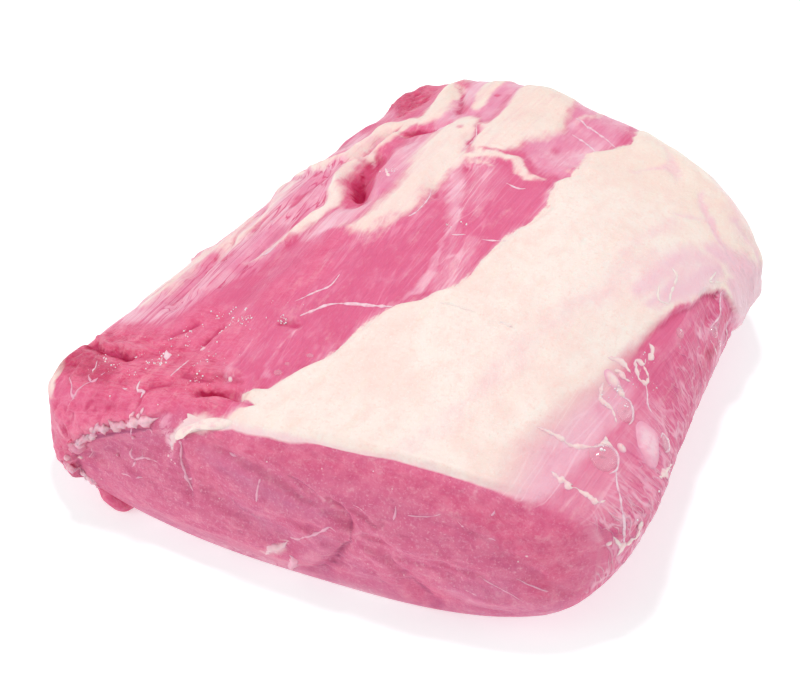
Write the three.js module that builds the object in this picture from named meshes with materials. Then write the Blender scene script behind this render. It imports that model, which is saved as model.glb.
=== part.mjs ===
/**
 * A raw boneless veal ribeye: one trimmed joint of meat, lying as it does on a counter.
 *
 * Millimetres, +Z up. The clean cut across the eye muscle faces -Y, the far cut faces +Y, and
 * the flank under the fat cover is on +X. The joint rests on its flat underside at z = 0, and
 * the origin is on that underside, in the middle of the joint's width and length.
 *
 * The body is one loft of lopsided squashed ovals along Y. Each end is a slightly domed cut
 * face, joined to the sides by a rounded edge that is sharp over the crown and full at the
 * flanks. The fat cover, the muscle seams, the gash and the torn ledge are raised or sunk
 * along the outward direction of the skin.
 *
 * Two measures say where a thing is on the skin of the sides: "across", the distance round the
 * reference section from the crown, positive towards +X, and y. On the end faces it is x and z.
 */
import * as THREE from 'three';
import { ParametricGeometry } from 'three/addons/geometries/ParametricGeometry.js';
import { mergeVertices } from 'three/addons/utils/BufferGeometryUtils.js';

// ---- The loft. Each list runs from the front cut to the far cut, at even steps. ----

const LENGTH = 188; // between the two cut faces, at the middle of the joint
const LEFT_EDGE = [-91, -89, -82, -74]; // x of the left flank's outermost line
const RIGHT_EDGE = [93, 87, 82, 77]; // x of the right flank's outermost line
const CROWN_HEIGHT = [53, 63, 68, 64];
const CROWN_X = [13, 11, 6, 0];
const LEFT_EDGE_HEIGHT = [30, 24, 26, 28];
const RIGHT_EDGE_HEIGHT = [35, 32, 34, 32];
const UNDERSIDE_SINK = 2; // how far the ovals reach below z = 0, which then cuts them flat

// How square each quarter of the oval is: 2 is an ellipse, less slopes like a roof.
const SQUARENESS = { upperLeft: 1.55, upperRight: 2.15, lowerLeft: 3.0, lowerRight: 2.6 };

// ---- The two ends ----

const END_CENTRE_SHARE = 0.45; // height of an end face's centre, as a share of its crown height
const END_LEVEL = 25; // the height at which an end's lean moves nothing

// edge: [degrees round the oval from +X, radius of the rounded edge there]
const FRONT = {
  side: -1,
  station: 0,
  lean: 0.05,
  skew: 0.145,
  dome: 8,
  domeHalfWidth: 90,
  edge: [
    [0, 26], [35, 14], [60, 4], [100, 4], [125, 12],
    [150, 24], [180, 26], [215, 12], [270, 5], [320, 8],
  ],
};
const FAR = {
  side: 1,
  station: 1,
  lean: -0.22,
  skew: -0.16,
  dome: 8,
  domeHalfWidth: 75,
  edge: [[0, 24], [60, 16], [120, 14], [180, 24], [270, 6]],
};

// ---- The fat cover, a thick strip laid over the crown: its two edges, across, at even steps ----

const COVER_FROM_Y = -95;
const COVER_TO_Y = 85;
const COVER_LEFT = [-33, -26, -15, -5, 8, 13, 13, 16, 24, 27];
const COVER_RIGHT = [38, 42, 48, 53, 59, 65, 68, 82, 92, 92];
const COVER_THICKNESS = 1.8;
const COVER_LEFT_BEVEL = 4;
const COVER_RIGHT_BEVEL = 14;

// ---- Relief: soft ridges (height > 0) and grooves (height < 0) drawn along short paths ----

// Paths of [across, y] on the sides.
const SIDE_RELIEF = [
  { what: 'gash', path: [[-61, 29], [-55, 15], [-49, 4]], width: 6, height: -4.5 },
  { what: 'lip left of the gash', path: [[-68, 26], [-62, 8]], width: 5, height: 1.8 },
  { what: 'lip right of the gash', path: [[-51, 30], [-43, 8]], width: 6, height: 2 },
  { what: 'second fat strip', path: [[-27, 44], [-29, 20], [-34, -6]], width: 7, height: 1.4 },
  { what: 'seam inside the strip', path: [[-19, 26], [-11, 2], [-5, -30]], width: 5, height: -1.6 },
  { what: 'far cream expanse', path: [[-14, 82], [-12, 42]], width: 11, height: 1.5 },
  { what: 'striped muscle', path: [[14, 86], [8, 50]], width: 7, height: -1.2 },
  { what: 'long left muscle', path: [[-45, -70], [-42, -10]], width: 16, height: 1.6 },
  { what: 'seam left of it', path: [[-60, -60], [-61, 0]], width: 6, height: -1.8 },
  { what: 'outer left muscle', path: [[-80, -45], [-76, 20], [-70, 60]], width: 9, height: 1.6 },
  { what: 'dark slit', path: [[-85, -22], [-86, -36], [-82, -52]], width: 4, height: -2.2 },
  { what: 'far dark hollow', path: [[-82, 60], [-74, 84]], width: 9, height: -2.5 },
  { what: 'front left tear', path: [[-100, -72], [-84, -78], [-60, -74]], width: 6, height: -2 },
  { what: 'hole by the eye', path: [[-46, -89], [-38, -87]], width: 4, height: -3.5 },
  { what: 'flank hollow', path: [[76, 30], [84, 0], [72, -20]], width: 9, height: -1.8 },
  { what: 'flank ridge', path: [[64, -24], [84, -42], [86, -62]], width: 6, height: 1.2 },
];

// Paths of [x, z] on the front cut.
const FRONT_RELIEF = [
  { what: 'torn ledge', path: [[-67, 27], [-55, 35], [-43, 41]], width: 4, height: 2.4 },
  { what: 'shadow under the ledge', path: [[-64, 20], [-52, 29], [-40, 35]], width: 4.5, height: -1.6 },
  { what: 'eye muscle', path: [[-5, 36], [55, 32]], width: 17, height: 2 },
  { what: 'valley under the eye', path: [[-28, 38], [-12, 27], [5, 20]], width: 6, height: -2.4 },
  { what: 'fold', path: [[21, 28], [18, 19], [10, 10], [9, 4]], width: 3.5, height: -2.6 },
  { what: 'lower left muscle', path: [[-45, 14], [-8, 10]], width: 12, height: 2 },
  { what: 'low dimple', path: [[41, 12], [47, 6]], width: 5, height: -1.8 },
];

// Paths of [x, z] on the far cut.
const FAR_RELIEF = [
  { what: 'eye muscle', path: [[-20, 34], [35, 36]], width: 15, height: 2.4 },
  { what: 'seam under the eye', path: [[-52, 32], [-20, 17], [30, 15], [58, 28]], width: 5, height: -2.2 },
  { what: 'cap muscle seam', path: [[-40, 50], [0, 54], [40, 48]], width: 4.5, height: -1.8 },
  { what: 'left lobe', path: [[-58, 24], [-46, 20]], width: 9, height: 2 },
];

// The relief fades out towards the underside, which stays flat.
const RELIEF_STARTS_Z = 2;
const RELIEF_FULL_Z = 14;

// ---- The mesh's grid ----

const ROUND_STEPS = 100;
const FACE_ROWS = 5;
const EDGE_ROWS = 4;
const SIDE_ROWS = 28;
const ROWS = 2 * (FACE_ROWS + EDGE_ROWS) + SIDE_ROWS;
const REFERENCE_SHARE = 0.4; // where along the loft the section lies that "across" is measured on

const { clamp, euclideanModulo, radToDeg, smoothstep, lerp } = THREE.MathUtils;

/** A smooth value through evenly spaced stations, read at a share t of the way along them. */
function through(values) {
  const curve = new THREE.SplineCurve(values.map((value, i) => new THREE.Vector2(i, value)));
  return (t) => curve.getPoint(clamp(t, 0, 1)).y;
}

const leftEdge = through(LEFT_EDGE);
const rightEdge = through(RIGHT_EDGE);
const crownHeight = through(CROWN_HEIGHT);
const crownX = through(CROWN_X);
const leftEdgeHeight = through(LEFT_EDGE_HEIGHT);
const rightEdgeHeight = through(RIGHT_EDGE_HEIGHT);
const coverLeft = through(COVER_LEFT);
const coverRight = through(COVER_RIGHT);

/** The oval at a share of the way along the loft, as points (x, z), anticlockwise from +X. */
class Section extends THREE.Curve {
  constructor(share) {
    super();
    this.share = share;
    this.arcLengthDivisions = 1440;
  }

  getPoint(t, target = new THREE.Vector2()) {
    const cos = Math.cos(2 * Math.PI * t);
    const sin = Math.sin(2 * Math.PI * t);
    const right = cos >= 0;
    const upper = sin >= 0;
    const middle = crownX(this.share);
    const level = right ? rightEdgeHeight(this.share) : leftEdgeHeight(this.share);
    const halfWidth = right ? rightEdge(this.share) - middle : middle - leftEdge(this.share);
    const halfHeight = upper ? crownHeight(this.share) - level : level + UNDERSIDE_SINK;
    const squareness = SQUARENESS[(upper ? 'upper' : 'lower') + (right ? 'Right' : 'Left')];
    const x = Math.sign(cos) * Math.abs(cos) ** (2 / squareness);
    const z = Math.sign(sin) * Math.abs(sin) ** (2 / squareness);
    return target.set(middle + halfWidth * x, level + halfHeight * z);
  }

  /** The unit direction out of the oval, in (x, z). */
  outward(t) {
    const along = this.getTangent(t);
    return new THREE.Vector2(along.y, -along.x);
  }
}

const reference = new Section(REFERENCE_SHARE);
const perimeter = reference.getLength();
const lengthToCrown = reference.getLengths()[reference.arcLengthDivisions / 4];

/** The oval's own parameter at a distance across from the crown. */
function ovalParameter(across) {
  return reference.getUtoTmapping(euclideanModulo((lengthToCrown - across) / perimeter, 1));
}

/** The rounded edge's radius at a place round the oval: eased from key to key, and round again. */
function edgeRadius(end, t) {
  const keys = end.edge;
  const degrees = radToDeg(2 * Math.PI * euclideanModulo(t, 1));
  const i = keys.findLastIndex(([at]) => at <= degrees);
  const [from, radius] = keys[i];
  const [to, nextRadius] = keys[(i + 1) % keys.length];
  const share = (degrees - from) / euclideanModulo(to - from, 360);
  return lerp(radius, nextRadius, 0.5 - 0.5 * Math.cos(Math.PI * share));
}

/** The centre (x, z) that an end face's rows spread out from. */
function endCentre(end) {
  return new THREE.Vector2(crownX(end.station), END_CENTRE_SHARE * crownHeight(end.station));
}

/** y of an end face at (x, z): a plane that leans with height, skews with x and domes outwards. */
function endFaceY(end, x, z) {
  const centre = endCentre(end);
  const u = (x - centre.x) / end.domeHalfWidth;
  const w = (z - centre.y) / (crownHeight(end.station) - centre.y);
  const dome = end.dome * clamp(1 - u * u - 0.8 * w * w, 0, 1);
  return end.side * (LENGTH / 2 + dome) + end.lean * (z - END_LEVEL) + end.skew * x;
}

/** The distance from a point to a path of straight stretches. */
function distanceToPath(x, y, path) {
  const point = new THREE.Vector2(x, y);
  const distances = path.slice(1).map((end, i) => {
    const start = new THREE.Vector2(...path[i]);
    const stretch = new THREE.Vector2(...end).sub(start);
    const share = clamp(point.clone().sub(start).dot(stretch) / stretch.lengthSq(), 0, 1);
    return point.distanceTo(start.addScaledVector(stretch, share));
  });
  return Math.min(...distances);
}

/** The sum of all the soft strokes of one relief list at a place. */
function strokes(list, x, y) {
  return list.reduce((sum, { path, width, height }) => {
    const distance = distanceToPath(x, y, path) / width;
    return sum + height * Math.exp(-distance * distance);
  }, 0);
}

/** How far the fat cover stands up at a place on the sides. */
function coverRelief(across, y) {
  const share = (y - COVER_FROM_Y) / (COVER_TO_Y - COVER_FROM_Y);
  const fromLeft = smoothstep(across - coverLeft(share), 0, COVER_LEFT_BEVEL);
  const fromRight = smoothstep(coverRight(share) - across, 0, COVER_RIGHT_BEVEL);
  return COVER_THICKNESS * fromLeft * fromRight;
}

/** A point on the skin: u goes once round the oval from the underside, v from front to far. */
function skin(u, v, target) {
  const row = Math.round(v * ROWS);
  const end = row < ROWS / 2 ? FRONT : FAR;
  const rowFromEnd = Math.min(row, ROWS - row);
  const across = (u - 0.5) * perimeter;
  const t = ovalParameter(across);

  // 0 on the cut face, a quarter turn on the sides, and between the two on the rounded edge.
  const turn = clamp((rowFromEnd - FACE_ROWS) / EDGE_ROWS, 0, 1) * Math.PI / 2;
  const share = clamp((row - FACE_ROWS - EDGE_ROWS) / SIDE_ROWS, 0, 1);
  const section = new Section(share);
  const place = section.getPoint(t);
  const radius = edgeRadius(end, t);

  if (turn < Math.PI / 2) {
    const centre = endCentre(end);
    const spoke = place.clone().sub(centre);
    spoke.setLength(spoke.length() - radius * (1 - Math.sin(turn)));
    place.copy(centre).addScaledVector(spoke, Math.min(rowFromEnd / FACE_ROWS, 1));
    const setBack = radius * (1 - Math.cos(turn));
    target.set(place.x, endFaceY(end, place.x, place.y) - end.side * setBack, place.y);
  } else {
    const front = new Section(0).getPoint(t);
    const far = new Section(1).getPoint(t);
    const frontY = endFaceY(FRONT, front.x, front.y) + edgeRadius(FRONT, t);
    const farY = endFaceY(FAR, far.x, far.y) - edgeRadius(FAR, t);
    target.set(place.x, lerp(frontY, farY, share), place.y);
  }

  const sideHeight = strokes(SIDE_RELIEF, across, target.y) + coverRelief(across, target.y);
  const endHeight = strokes(end === FRONT ? FRONT_RELIEF : FAR_RELIEF, target.x, target.z);
  const outward = section.outward(t);
  const direction = new THREE.Vector3(outward.x, 0, outward.y).multiplyScalar(Math.sin(turn));
  direction.y = end.side * Math.cos(turn);
  const height = lerp(endHeight, sideHeight, Math.sin(turn) ** 2);
  target.addScaledVector(direction, height * smoothstep(target.z, RELIEF_STARTS_Z, RELIEF_FULL_Z));
  target.z = Math.max(target.z, 0);
}

/** Joins the loft's seam and end points, and drops the triangles that close up to nothing. */
function welded(geometry) {
  geometry.deleteAttribute('normal');
  geometry.deleteAttribute('uv');
  const joined = mergeVertices(geometry, 1e-4);
  const index = joined.getIndex().array;
  const kept = [];
  for (let i = 0; i < index.length; i += 3) {
    const [a, b, c] = index.slice(i, i + 3);
    if (a !== b && b !== c && c !== a) kept.push(a, b, c);
  }
  joined.setIndex(kept);
  return joined;
}

/** The whole joint, moved so that the origin is under the middle of its box. */
function vealRibeye() {
  const geometry = welded(new ParametricGeometry(skin, ROUND_STEPS, ROWS));
  geometry.computeBoundingBox();
  const middle = geometry.boundingBox.getCenter(new THREE.Vector3());
  geometry.translate(-middle.x, -middle.y, 0);
  geometry.computeVertexNormals();
  const flesh = new THREE.MeshStandardMaterial({ color: 0xe07898, roughness: 0.38, metalness: 0 });
  const mesh = new THREE.Mesh(geometry, flesh);
  mesh.name = 'veal_ribeye';
  return mesh;
}

const joint = new THREE.Group();
joint.add(vealRibeye());

export default joint;
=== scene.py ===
"""Looks of a raw boneless veal ribeye, built round its plain solid.

The body repeats the solid's loft on a much finer grid and adds the muscle seams, tears and
fat relief. Painted layers ride on it as attributes: fat, membrane, torn flesh, and dark
juice with painted shade in the hollows. Small pieces lie on it: membrane folds, fat crumbs,
marbling, torn shreds, bubbles with painted rim reflections, and white beads painted as glints.
All arrays are in millimetres in the loft's own frame; make_piece() moves them to the part's.
"""
import math
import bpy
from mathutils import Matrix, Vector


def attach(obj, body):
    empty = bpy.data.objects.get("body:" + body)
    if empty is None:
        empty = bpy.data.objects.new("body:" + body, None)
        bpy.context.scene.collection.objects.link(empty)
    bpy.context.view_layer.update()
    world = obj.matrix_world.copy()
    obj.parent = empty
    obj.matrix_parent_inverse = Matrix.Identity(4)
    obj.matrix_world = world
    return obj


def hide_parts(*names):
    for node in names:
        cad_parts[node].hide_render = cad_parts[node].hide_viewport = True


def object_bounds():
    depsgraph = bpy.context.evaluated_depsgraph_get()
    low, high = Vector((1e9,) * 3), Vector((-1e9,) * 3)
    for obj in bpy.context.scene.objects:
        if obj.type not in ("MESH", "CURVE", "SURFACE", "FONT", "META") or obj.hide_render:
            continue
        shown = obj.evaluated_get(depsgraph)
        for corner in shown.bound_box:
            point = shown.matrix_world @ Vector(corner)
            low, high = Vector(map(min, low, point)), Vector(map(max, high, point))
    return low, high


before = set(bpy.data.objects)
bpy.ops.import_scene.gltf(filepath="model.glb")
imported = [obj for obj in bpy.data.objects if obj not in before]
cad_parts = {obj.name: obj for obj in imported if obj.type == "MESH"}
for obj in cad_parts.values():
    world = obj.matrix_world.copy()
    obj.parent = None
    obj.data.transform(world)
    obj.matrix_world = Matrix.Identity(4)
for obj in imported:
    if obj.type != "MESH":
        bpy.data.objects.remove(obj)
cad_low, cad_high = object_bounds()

from types import SimpleNamespace

import bpy
import numpy as np
from mathutils import Vector

MM = 0.001
QUARTER = math.pi / 2
NODE = "veal_ribeye"
TINY, TINIEST = 1e-9, 1e-12  # keep a division by a length of nothing finite

# ---- the loft of the plain solid ----

LENGTH = 188.0
LEFT_EDGE = [-91, -89, -82, -74]
RIGHT_EDGE = [93, 87, 82, 77]
CROWN_HEIGHT = [53, 63, 68, 64]
CROWN_X = [13, 11, 6, 0]
LEFT_EDGE_HEIGHT = [30, 24, 26, 28]
RIGHT_EDGE_HEIGHT = [35, 32, 34, 32]
UNDERSIDE_SINK = 2.0
UPPER_LEFT, UPPER_RIGHT, LOWER_LEFT, LOWER_RIGHT = 1.55, 2.15, 3.0, 2.6
END_CENTRE_SHARE = 0.45
END_LEVEL = 25.0
DOME_FALL_WITH_HEIGHT = 0.8
REFERENCE_SHARE = 0.4
RIM_STEPS = 1440
TURN_STEP = 1e-4

FRONT = dict(
    side=-1, share=0.0, lean=0.05, skew=0.145, dome=8.0, dome_half_width=90.0,
    edge=[(0, 26), (35, 14), (60, 4), (100, 4), (125, 12), (150, 24), (180, 26), (215, 12),
          (270, 5), (320, 8)])
FAR = dict(
    side=1, share=1.0, lean=-0.22, skew=-0.16, dome=8.0, dome_half_width=75.0,
    edge=[(0, 24), (60, 16), (120, 14), (180, 24), (270, 6)])


def ease(x):
    """0 up to x = 0, 1 from x = 1, and 3x^2 - 2x^3 between."""
    x = np.clip(x, 0, 1)
    return x * x * (3 - 2 * x)


def mix(a, b, share):
    """a and b in proportion: a where share is 0 and b where it is 1."""
    return a + (b - a) * share


def together(*columns):
    """Arrays of one broadcast shape, stacked as the last axis."""
    return np.stack(np.broadcast_arrays(*columns), -1)


def through(values, t):
    """A Catmull-Rom curve through evenly spaced values, read at a share t of the way."""
    values = np.asarray(values, float)
    last = len(values) - 1
    t = np.clip(t, 0, 1) * last
    i = np.minimum(np.floor(t).astype(int), last - 1)
    f = t - i
    p0, p1, p2, p3 = (values[np.clip(i + k, 0, last)] for k in (-1, 0, 1, 2))
    slope_1, slope_2 = (p2 - p0) / 2, (p3 - p1) / 2
    bend = (2 * p1 - 2 * p2 + slope_1 + slope_2) * f ** 3
    return bend + (-3 * p1 + 3 * p2 - 2 * slope_1 - slope_2) * f ** 2 + slope_1 * f + p1


def oval(t, share):
    """x and z of the lopsided squashed oval at a share of the way along, t turns from +X.

    Each quarter is a superellipse: the cosine and sine raised to 2 / squareness.
    """
    c, s = np.cos(2 * np.pi * t), np.sin(2 * np.pi * t)
    right, upper = c >= 0, s >= 0
    middle = through(CROWN_X, share)
    level = np.where(right, through(RIGHT_EDGE_HEIGHT, share), through(LEFT_EDGE_HEIGHT, share))
    half_width = np.where(right, through(RIGHT_EDGE, share) - middle,
                          middle - through(LEFT_EDGE, share))
    half_height = np.where(upper, through(CROWN_HEIGHT, share) - level, level + UNDERSIDE_SINK)
    squareness = np.where(upper, np.where(right, UPPER_RIGHT, UPPER_LEFT),
                          np.where(right, LOWER_RIGHT, LOWER_LEFT))
    x = middle + half_width * np.sign(c) * np.abs(c) ** (2 / squareness)
    z = level + half_height * np.sign(s) * np.abs(s) ** (2 / squareness)
    return x, z


def oval_outward(t, share):
    """The unit direction out of the oval, from the difference of two near points."""
    x0, z0 = oval(t - TURN_STEP, share)
    x1, z1 = oval(t + TURN_STEP, share)
    length = np.hypot(x1 - x0, z1 - z0) + TINIEST
    return (z1 - z0) / length, -(x1 - x0) / length


TURNS = np.linspace(0, 1, RIM_STEPS + 1)
rim_x, rim_z = oval(TURNS, REFERENCE_SHARE)
RIM_LENGTH = np.concatenate([[0], np.cumsum(np.hypot(np.diff(rim_x), np.diff(rim_z)))])
PERIMETER = RIM_LENGTH[-1]
CROWN_LENGTH = RIM_LENGTH[RIM_STEPS // 4]


def oval_turn(across):
    """The oval's t at a distance across from the crown, measured on the reference section."""
    return np.interp((CROWN_LENGTH - across) % PERIMETER, RIM_LENGTH, TURNS)


def edge_radius(end, t):
    """The rounded edge's radius: eased by half a cosine from key to key round the oval."""
    keys = end["edge"] + [(360, end["edge"][0][1])]
    at, radius = (np.array(column, float) for column in zip(*keys))
    degrees = (t % 1) * 360
    i = np.clip(np.searchsorted(at, degrees, side="right") - 1, 0, len(at) - 2)
    share = (degrees - at[i]) / (at[i + 1] - at[i])
    return mix(radius[i], radius[i + 1], 0.5 - 0.5 * np.cos(np.pi * share))


def end_centre(end):
    """Where an end face's rows spread out from, as (x, z)."""
    height = through(CROWN_HEIGHT, end["share"])
    return through(CROWN_X, end["share"]), END_CENTRE_SHARE * height


def end_y(end, x, z):
    """y of an end face: a plane that leans with height, skews with x and domes outwards."""
    cx, cz = end_centre(end)
    u = (x - cx) / end["dome_half_width"]
    w = (z - cz) / (through(CROWN_HEIGHT, end["share"]) - cz)
    dome = end["dome"] * np.clip(1 - u * u - DOME_FALL_WITH_HEIGHT * w * w, 0, 1)
    return end["side"] * (LENGTH / 2 + dome) + end["lean"] * (z - END_LEVEL) + end["skew"] * x


def end_skin(end, t, turn, spoke):
    """Points of an end: the oval pulled in towards the centre, and rounded off by turn.

    turn runs from 0 on the cut face to a quarter turn where the sides begin; spoke is the
    share of the way out from the centre, and is 1 on the rounded edge.
    """
    x, z = oval(t, end["share"])
    cx, cz = end_centre(end)
    radius = edge_radius(end, t)
    length = np.hypot(x - cx, z - cz)
    share = spoke * (1 - radius * (1 - np.sin(turn)) / length)
    x, z = cx + (x - cx) * share, cz + (z - cz) * share
    y = end_y(end, x, z) - end["side"] * radius * (1 - np.cos(turn))
    return together(x, y, z)


def side_skin(t, share):
    """Points of the sides: the oval at that share, between the rounded edges of the two ends."""
    x, z = oval(t, share)
    front = end_y(FRONT, *oval(t, FRONT["share"])) + edge_radius(FRONT, t)
    far = end_y(FAR, *oval(t, FAR["share"])) - edge_radius(FAR, t)
    return together(x, mix(front, far, share), z)


# ---- noise and strokes ----


def lattice(cell, seed):
    """A repeatable random number from -1 to 1 for each whole-numbered cell."""
    n = (cell[..., 0] * 73856093) ^ (cell[..., 1] * 19349663) ^ (cell[..., 2] * 83492791)
    n = (n ^ (seed * 2654435761)) & 0xFFFFFFFF
    n = ((n ^ (n >> 15)) * 2246822519) & 0xFFFFFFFF
    n = ((n ^ (n >> 13)) * 3266489917) & 0xFFFFFFFF
    return ((n ^ (n >> 16)) & 0xFFFFFF) / 0x7FFFFF - 1


def lumps(points, size, seed, octaves=2):
    """Smooth random heights: lattice values size mm apart, eased between, plus finer octaves."""
    size = np.broadcast_to(np.asarray(size, float), (3,))
    total, strength = 0.0, 1.0
    for octave in range(octaves):
        q = points / size * 2 ** octave
        cell = np.floor(q).astype(np.int64)
        f = q - cell
        f = f * f * f * (f * (f * 6 - 15) + 10)
        for corner in np.ndindex(2, 2, 2):
            weight = np.prod(np.where(corner, f, 1 - f), axis=-1)
            total = total + strength * weight * lattice(cell + corner, seed + octave)
        strength *= 0.5
    return total


def inside(u, v, path):
    """How many mm a place lies inside a stroke, negative outside.

    A stroke is a path of (u, v, half width); the half width runs evenly from point to point.
    """
    path = np.asarray(path, float)
    if len(path) == 1:
        return path[0, 2] - np.hypot(u - path[0, 0], v - path[0, 1])
    best = np.full(np.broadcast(u, v).shape, -1e3)
    for (u0, v0, w0), (u1, v1, w1) in zip(path[:-1], path[1:]):
        du, dv = u1 - u0, v1 - v0
        s = np.clip(((u - u0) * du + (v - v0) * dv) / (du * du + dv * dv), 0, 1)
        depth = mix(w0, w1, s) - np.hypot(u - u0 - s * du, v - v0 - s * dv)
        best = np.maximum(best, depth)
    return best


def soft(depth, edge):
    """1 well inside a stroke and 0 outside, easing over edge mm centred on its outline."""
    return ease(depth / edge + 0.5)


def paint(u, v, strokes):
    """The strongest of (strength, edge, path) strokes at each place."""
    field = np.zeros(np.broadcast(u, v).shape)
    for strength, edge, path in strokes:
        field = np.maximum(field, strength * soft(inside(u, v, path), edge))
    return field


def swell(u, v, ridges):
    """The sum of ridges and grooves: each (height, width, line) falls off as a bell."""
    height = np.zeros(np.broadcast(u, v).shape)
    for rise, width, line in ridges:
        away = inside(u, v, [(*place, 0) for place in line])
        height = height + rise * np.exp(-(away / width) ** 2)
    return height


# ---- what lies where on the sides ----
# Strokes are (strength, edge, [(across, y, half width)]), with strengths from 0 to 1. Ridges
# are (height, width, [(across, y)]). All but the strengths are in mm.

COVER_LEFT = [  # (y, across) of the fat cover's sharp left edge
    (-100, -34), (-95, -33.5), (-91.5, -32), (-89, -28), (-87.5, -33.5), (-85, -34.5), (-83, -28),
    (-77, -26), (-70, -21), (-62, -17.5), (-55, -15), (-46, -12), (-41, -9.5), (-37, -3), (-32, -1),
    (-27.5, 4), (-21, 6), (-12, 7.5), (-5, 10), (1, 11), (8, 14), (17.5, 16.5), (24, 14), (30, 14),
    (36, 17), (44, 18), (53, 17), (56, 20), (62, 24), (67, 27), (75, 26), (84, 27), (100, 28)]
COVER_RIGHT = [  # (y, across, softness) where the cover gives way to bare flank
    (-100, 46, 16), (-84, 48, 16), (-76, 47, 17), (-68, 46, 16), (-56, 49, 13), (-43, 53, 10),
    (-35, 56, 8), (-19, 58.5, 5), (-9, 60.5, 3.5), (-3, 62, 2.4), (3, 64, 1.6), (9, 66, 1.5),
    (15, 69, 1.5), (20, 70.5, 1.5), (28, 73.5, 1.6), (34, 77, 2.5), (38, 90, 6), (46, 100, 10),
    (100, 104, 10)]
COVER_FRONT = [  # (across, y) of the cover's cut front edge
    (-40, -120), (4, -100), (12, -91.5), (21, -89), (37, -86), (44, -84), (50, -82), (60, -79)]

SIDE_CREAM = [  # fat that lies beside the cover
    (1, 4.5, [(-60, 53, 3.5), (-58.5, 46, 2.2), (-60, 38, 1.8), (-64.5, 31, 1.6), (-65.6, 24, 1.5),
        (-63, 14, 1.6), (-60, 5, 2), (-58.5, 0, 2.2), (-60.5, -6, 2.6), (-62, -12, 2.4),
        (-62.6, -17, 1.6), (-65, -21, 0.7), (-66, -26, 0.6), (-68, -31, 0.3)]),
    (1, 4.5, [(-62, 54, 3), (-68, 48, 3), (-70, 40, 2.8), (-69.5, 33, 2.2), (-69.5, 27, 1.8),
        (-75, 24.5, 1.6), (-86, 27, 2), (-100, 32, 2.5)]),
    (1, 4.5, [(-64, 87, 5), (-60, 77, 6), (-56, 68, 5), (-53, 60, 4.5), (-57, 54, 3.5)]),
    (0.85, 3, [(-42, 86, 5), (-41, 74, 4), (-37, 66, 3.5)]),
    (1, 8, [(-35.5, 51, 7), (-34, 44, 8.5), (-33, 38, 8.6), (-32.4, 32, 9), (-31, 26, 9.6),
        (-30.6, 20, 8.4), (-30, 14, 7), (-29.6, 9, 5.6), (-29.6, 3, 5.6), (-30.3, -2, 5.2),
        (-31.5, -7, 4.4), (-34.5, -11, 3.6), (-40, -13.5, 1.8)]),
    (1, 6, [(-14, 90, 12), (-12, 78, 13), (-10, 70, 12.5), (-9, 62, 14), (-11, 54, 12.5),
        (-13.5, 46, 10), (-14.5, 40, 8.5), (-14, 37.5, 7)]),
    (0.85, 6, [(-30, 50, 3), (-22, 52, 4.5), (-15, 56, 5)]),
    (0.95, 2.6, [(-26, 27, 0.8), (-21, 31, 1.7), (-14, 31.5, 1.6), (-7, 33.5, 1.7), (-1.5, 34, 2.6),
        (1.5, 31, 2.2), (4.5, 29, 1.2), (10, 29.2, 0.5)]),
    (0.7, 2.2, [(-20, 28.5, 0.8), (-14, 28.2, 0.9), (-8, 27.5, 0.5)]),
    (0.7, 6, [(-92, -6, 6), (-92, -14, 7), (-95, -22, 6), (-100, -34, 9), (-98, -42, 8),
        (-97, -50, 4)]),
    (0.6, 5, [(-84, -20, 4), (-81, -10, 2.5), (-84, 2, 3), (-92, 16, 5), (-98, 22, 5)]),
    (0.9, 2, [(-107, -75, 1.4), (-107, -82, 2.8), (-107, -90, 3.2), (-106.6, -97, 2.4)]),
    (0.6, 2, [(11, 84, 1.4), (9, 76, 1), (8, 70, 1.6)]), (0.45, 3, [(24, 44, 2), (16, 40, 1.5)]),
    (0.9, 4, [(88, 60, 9), (80, 56, 5)])]
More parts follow.
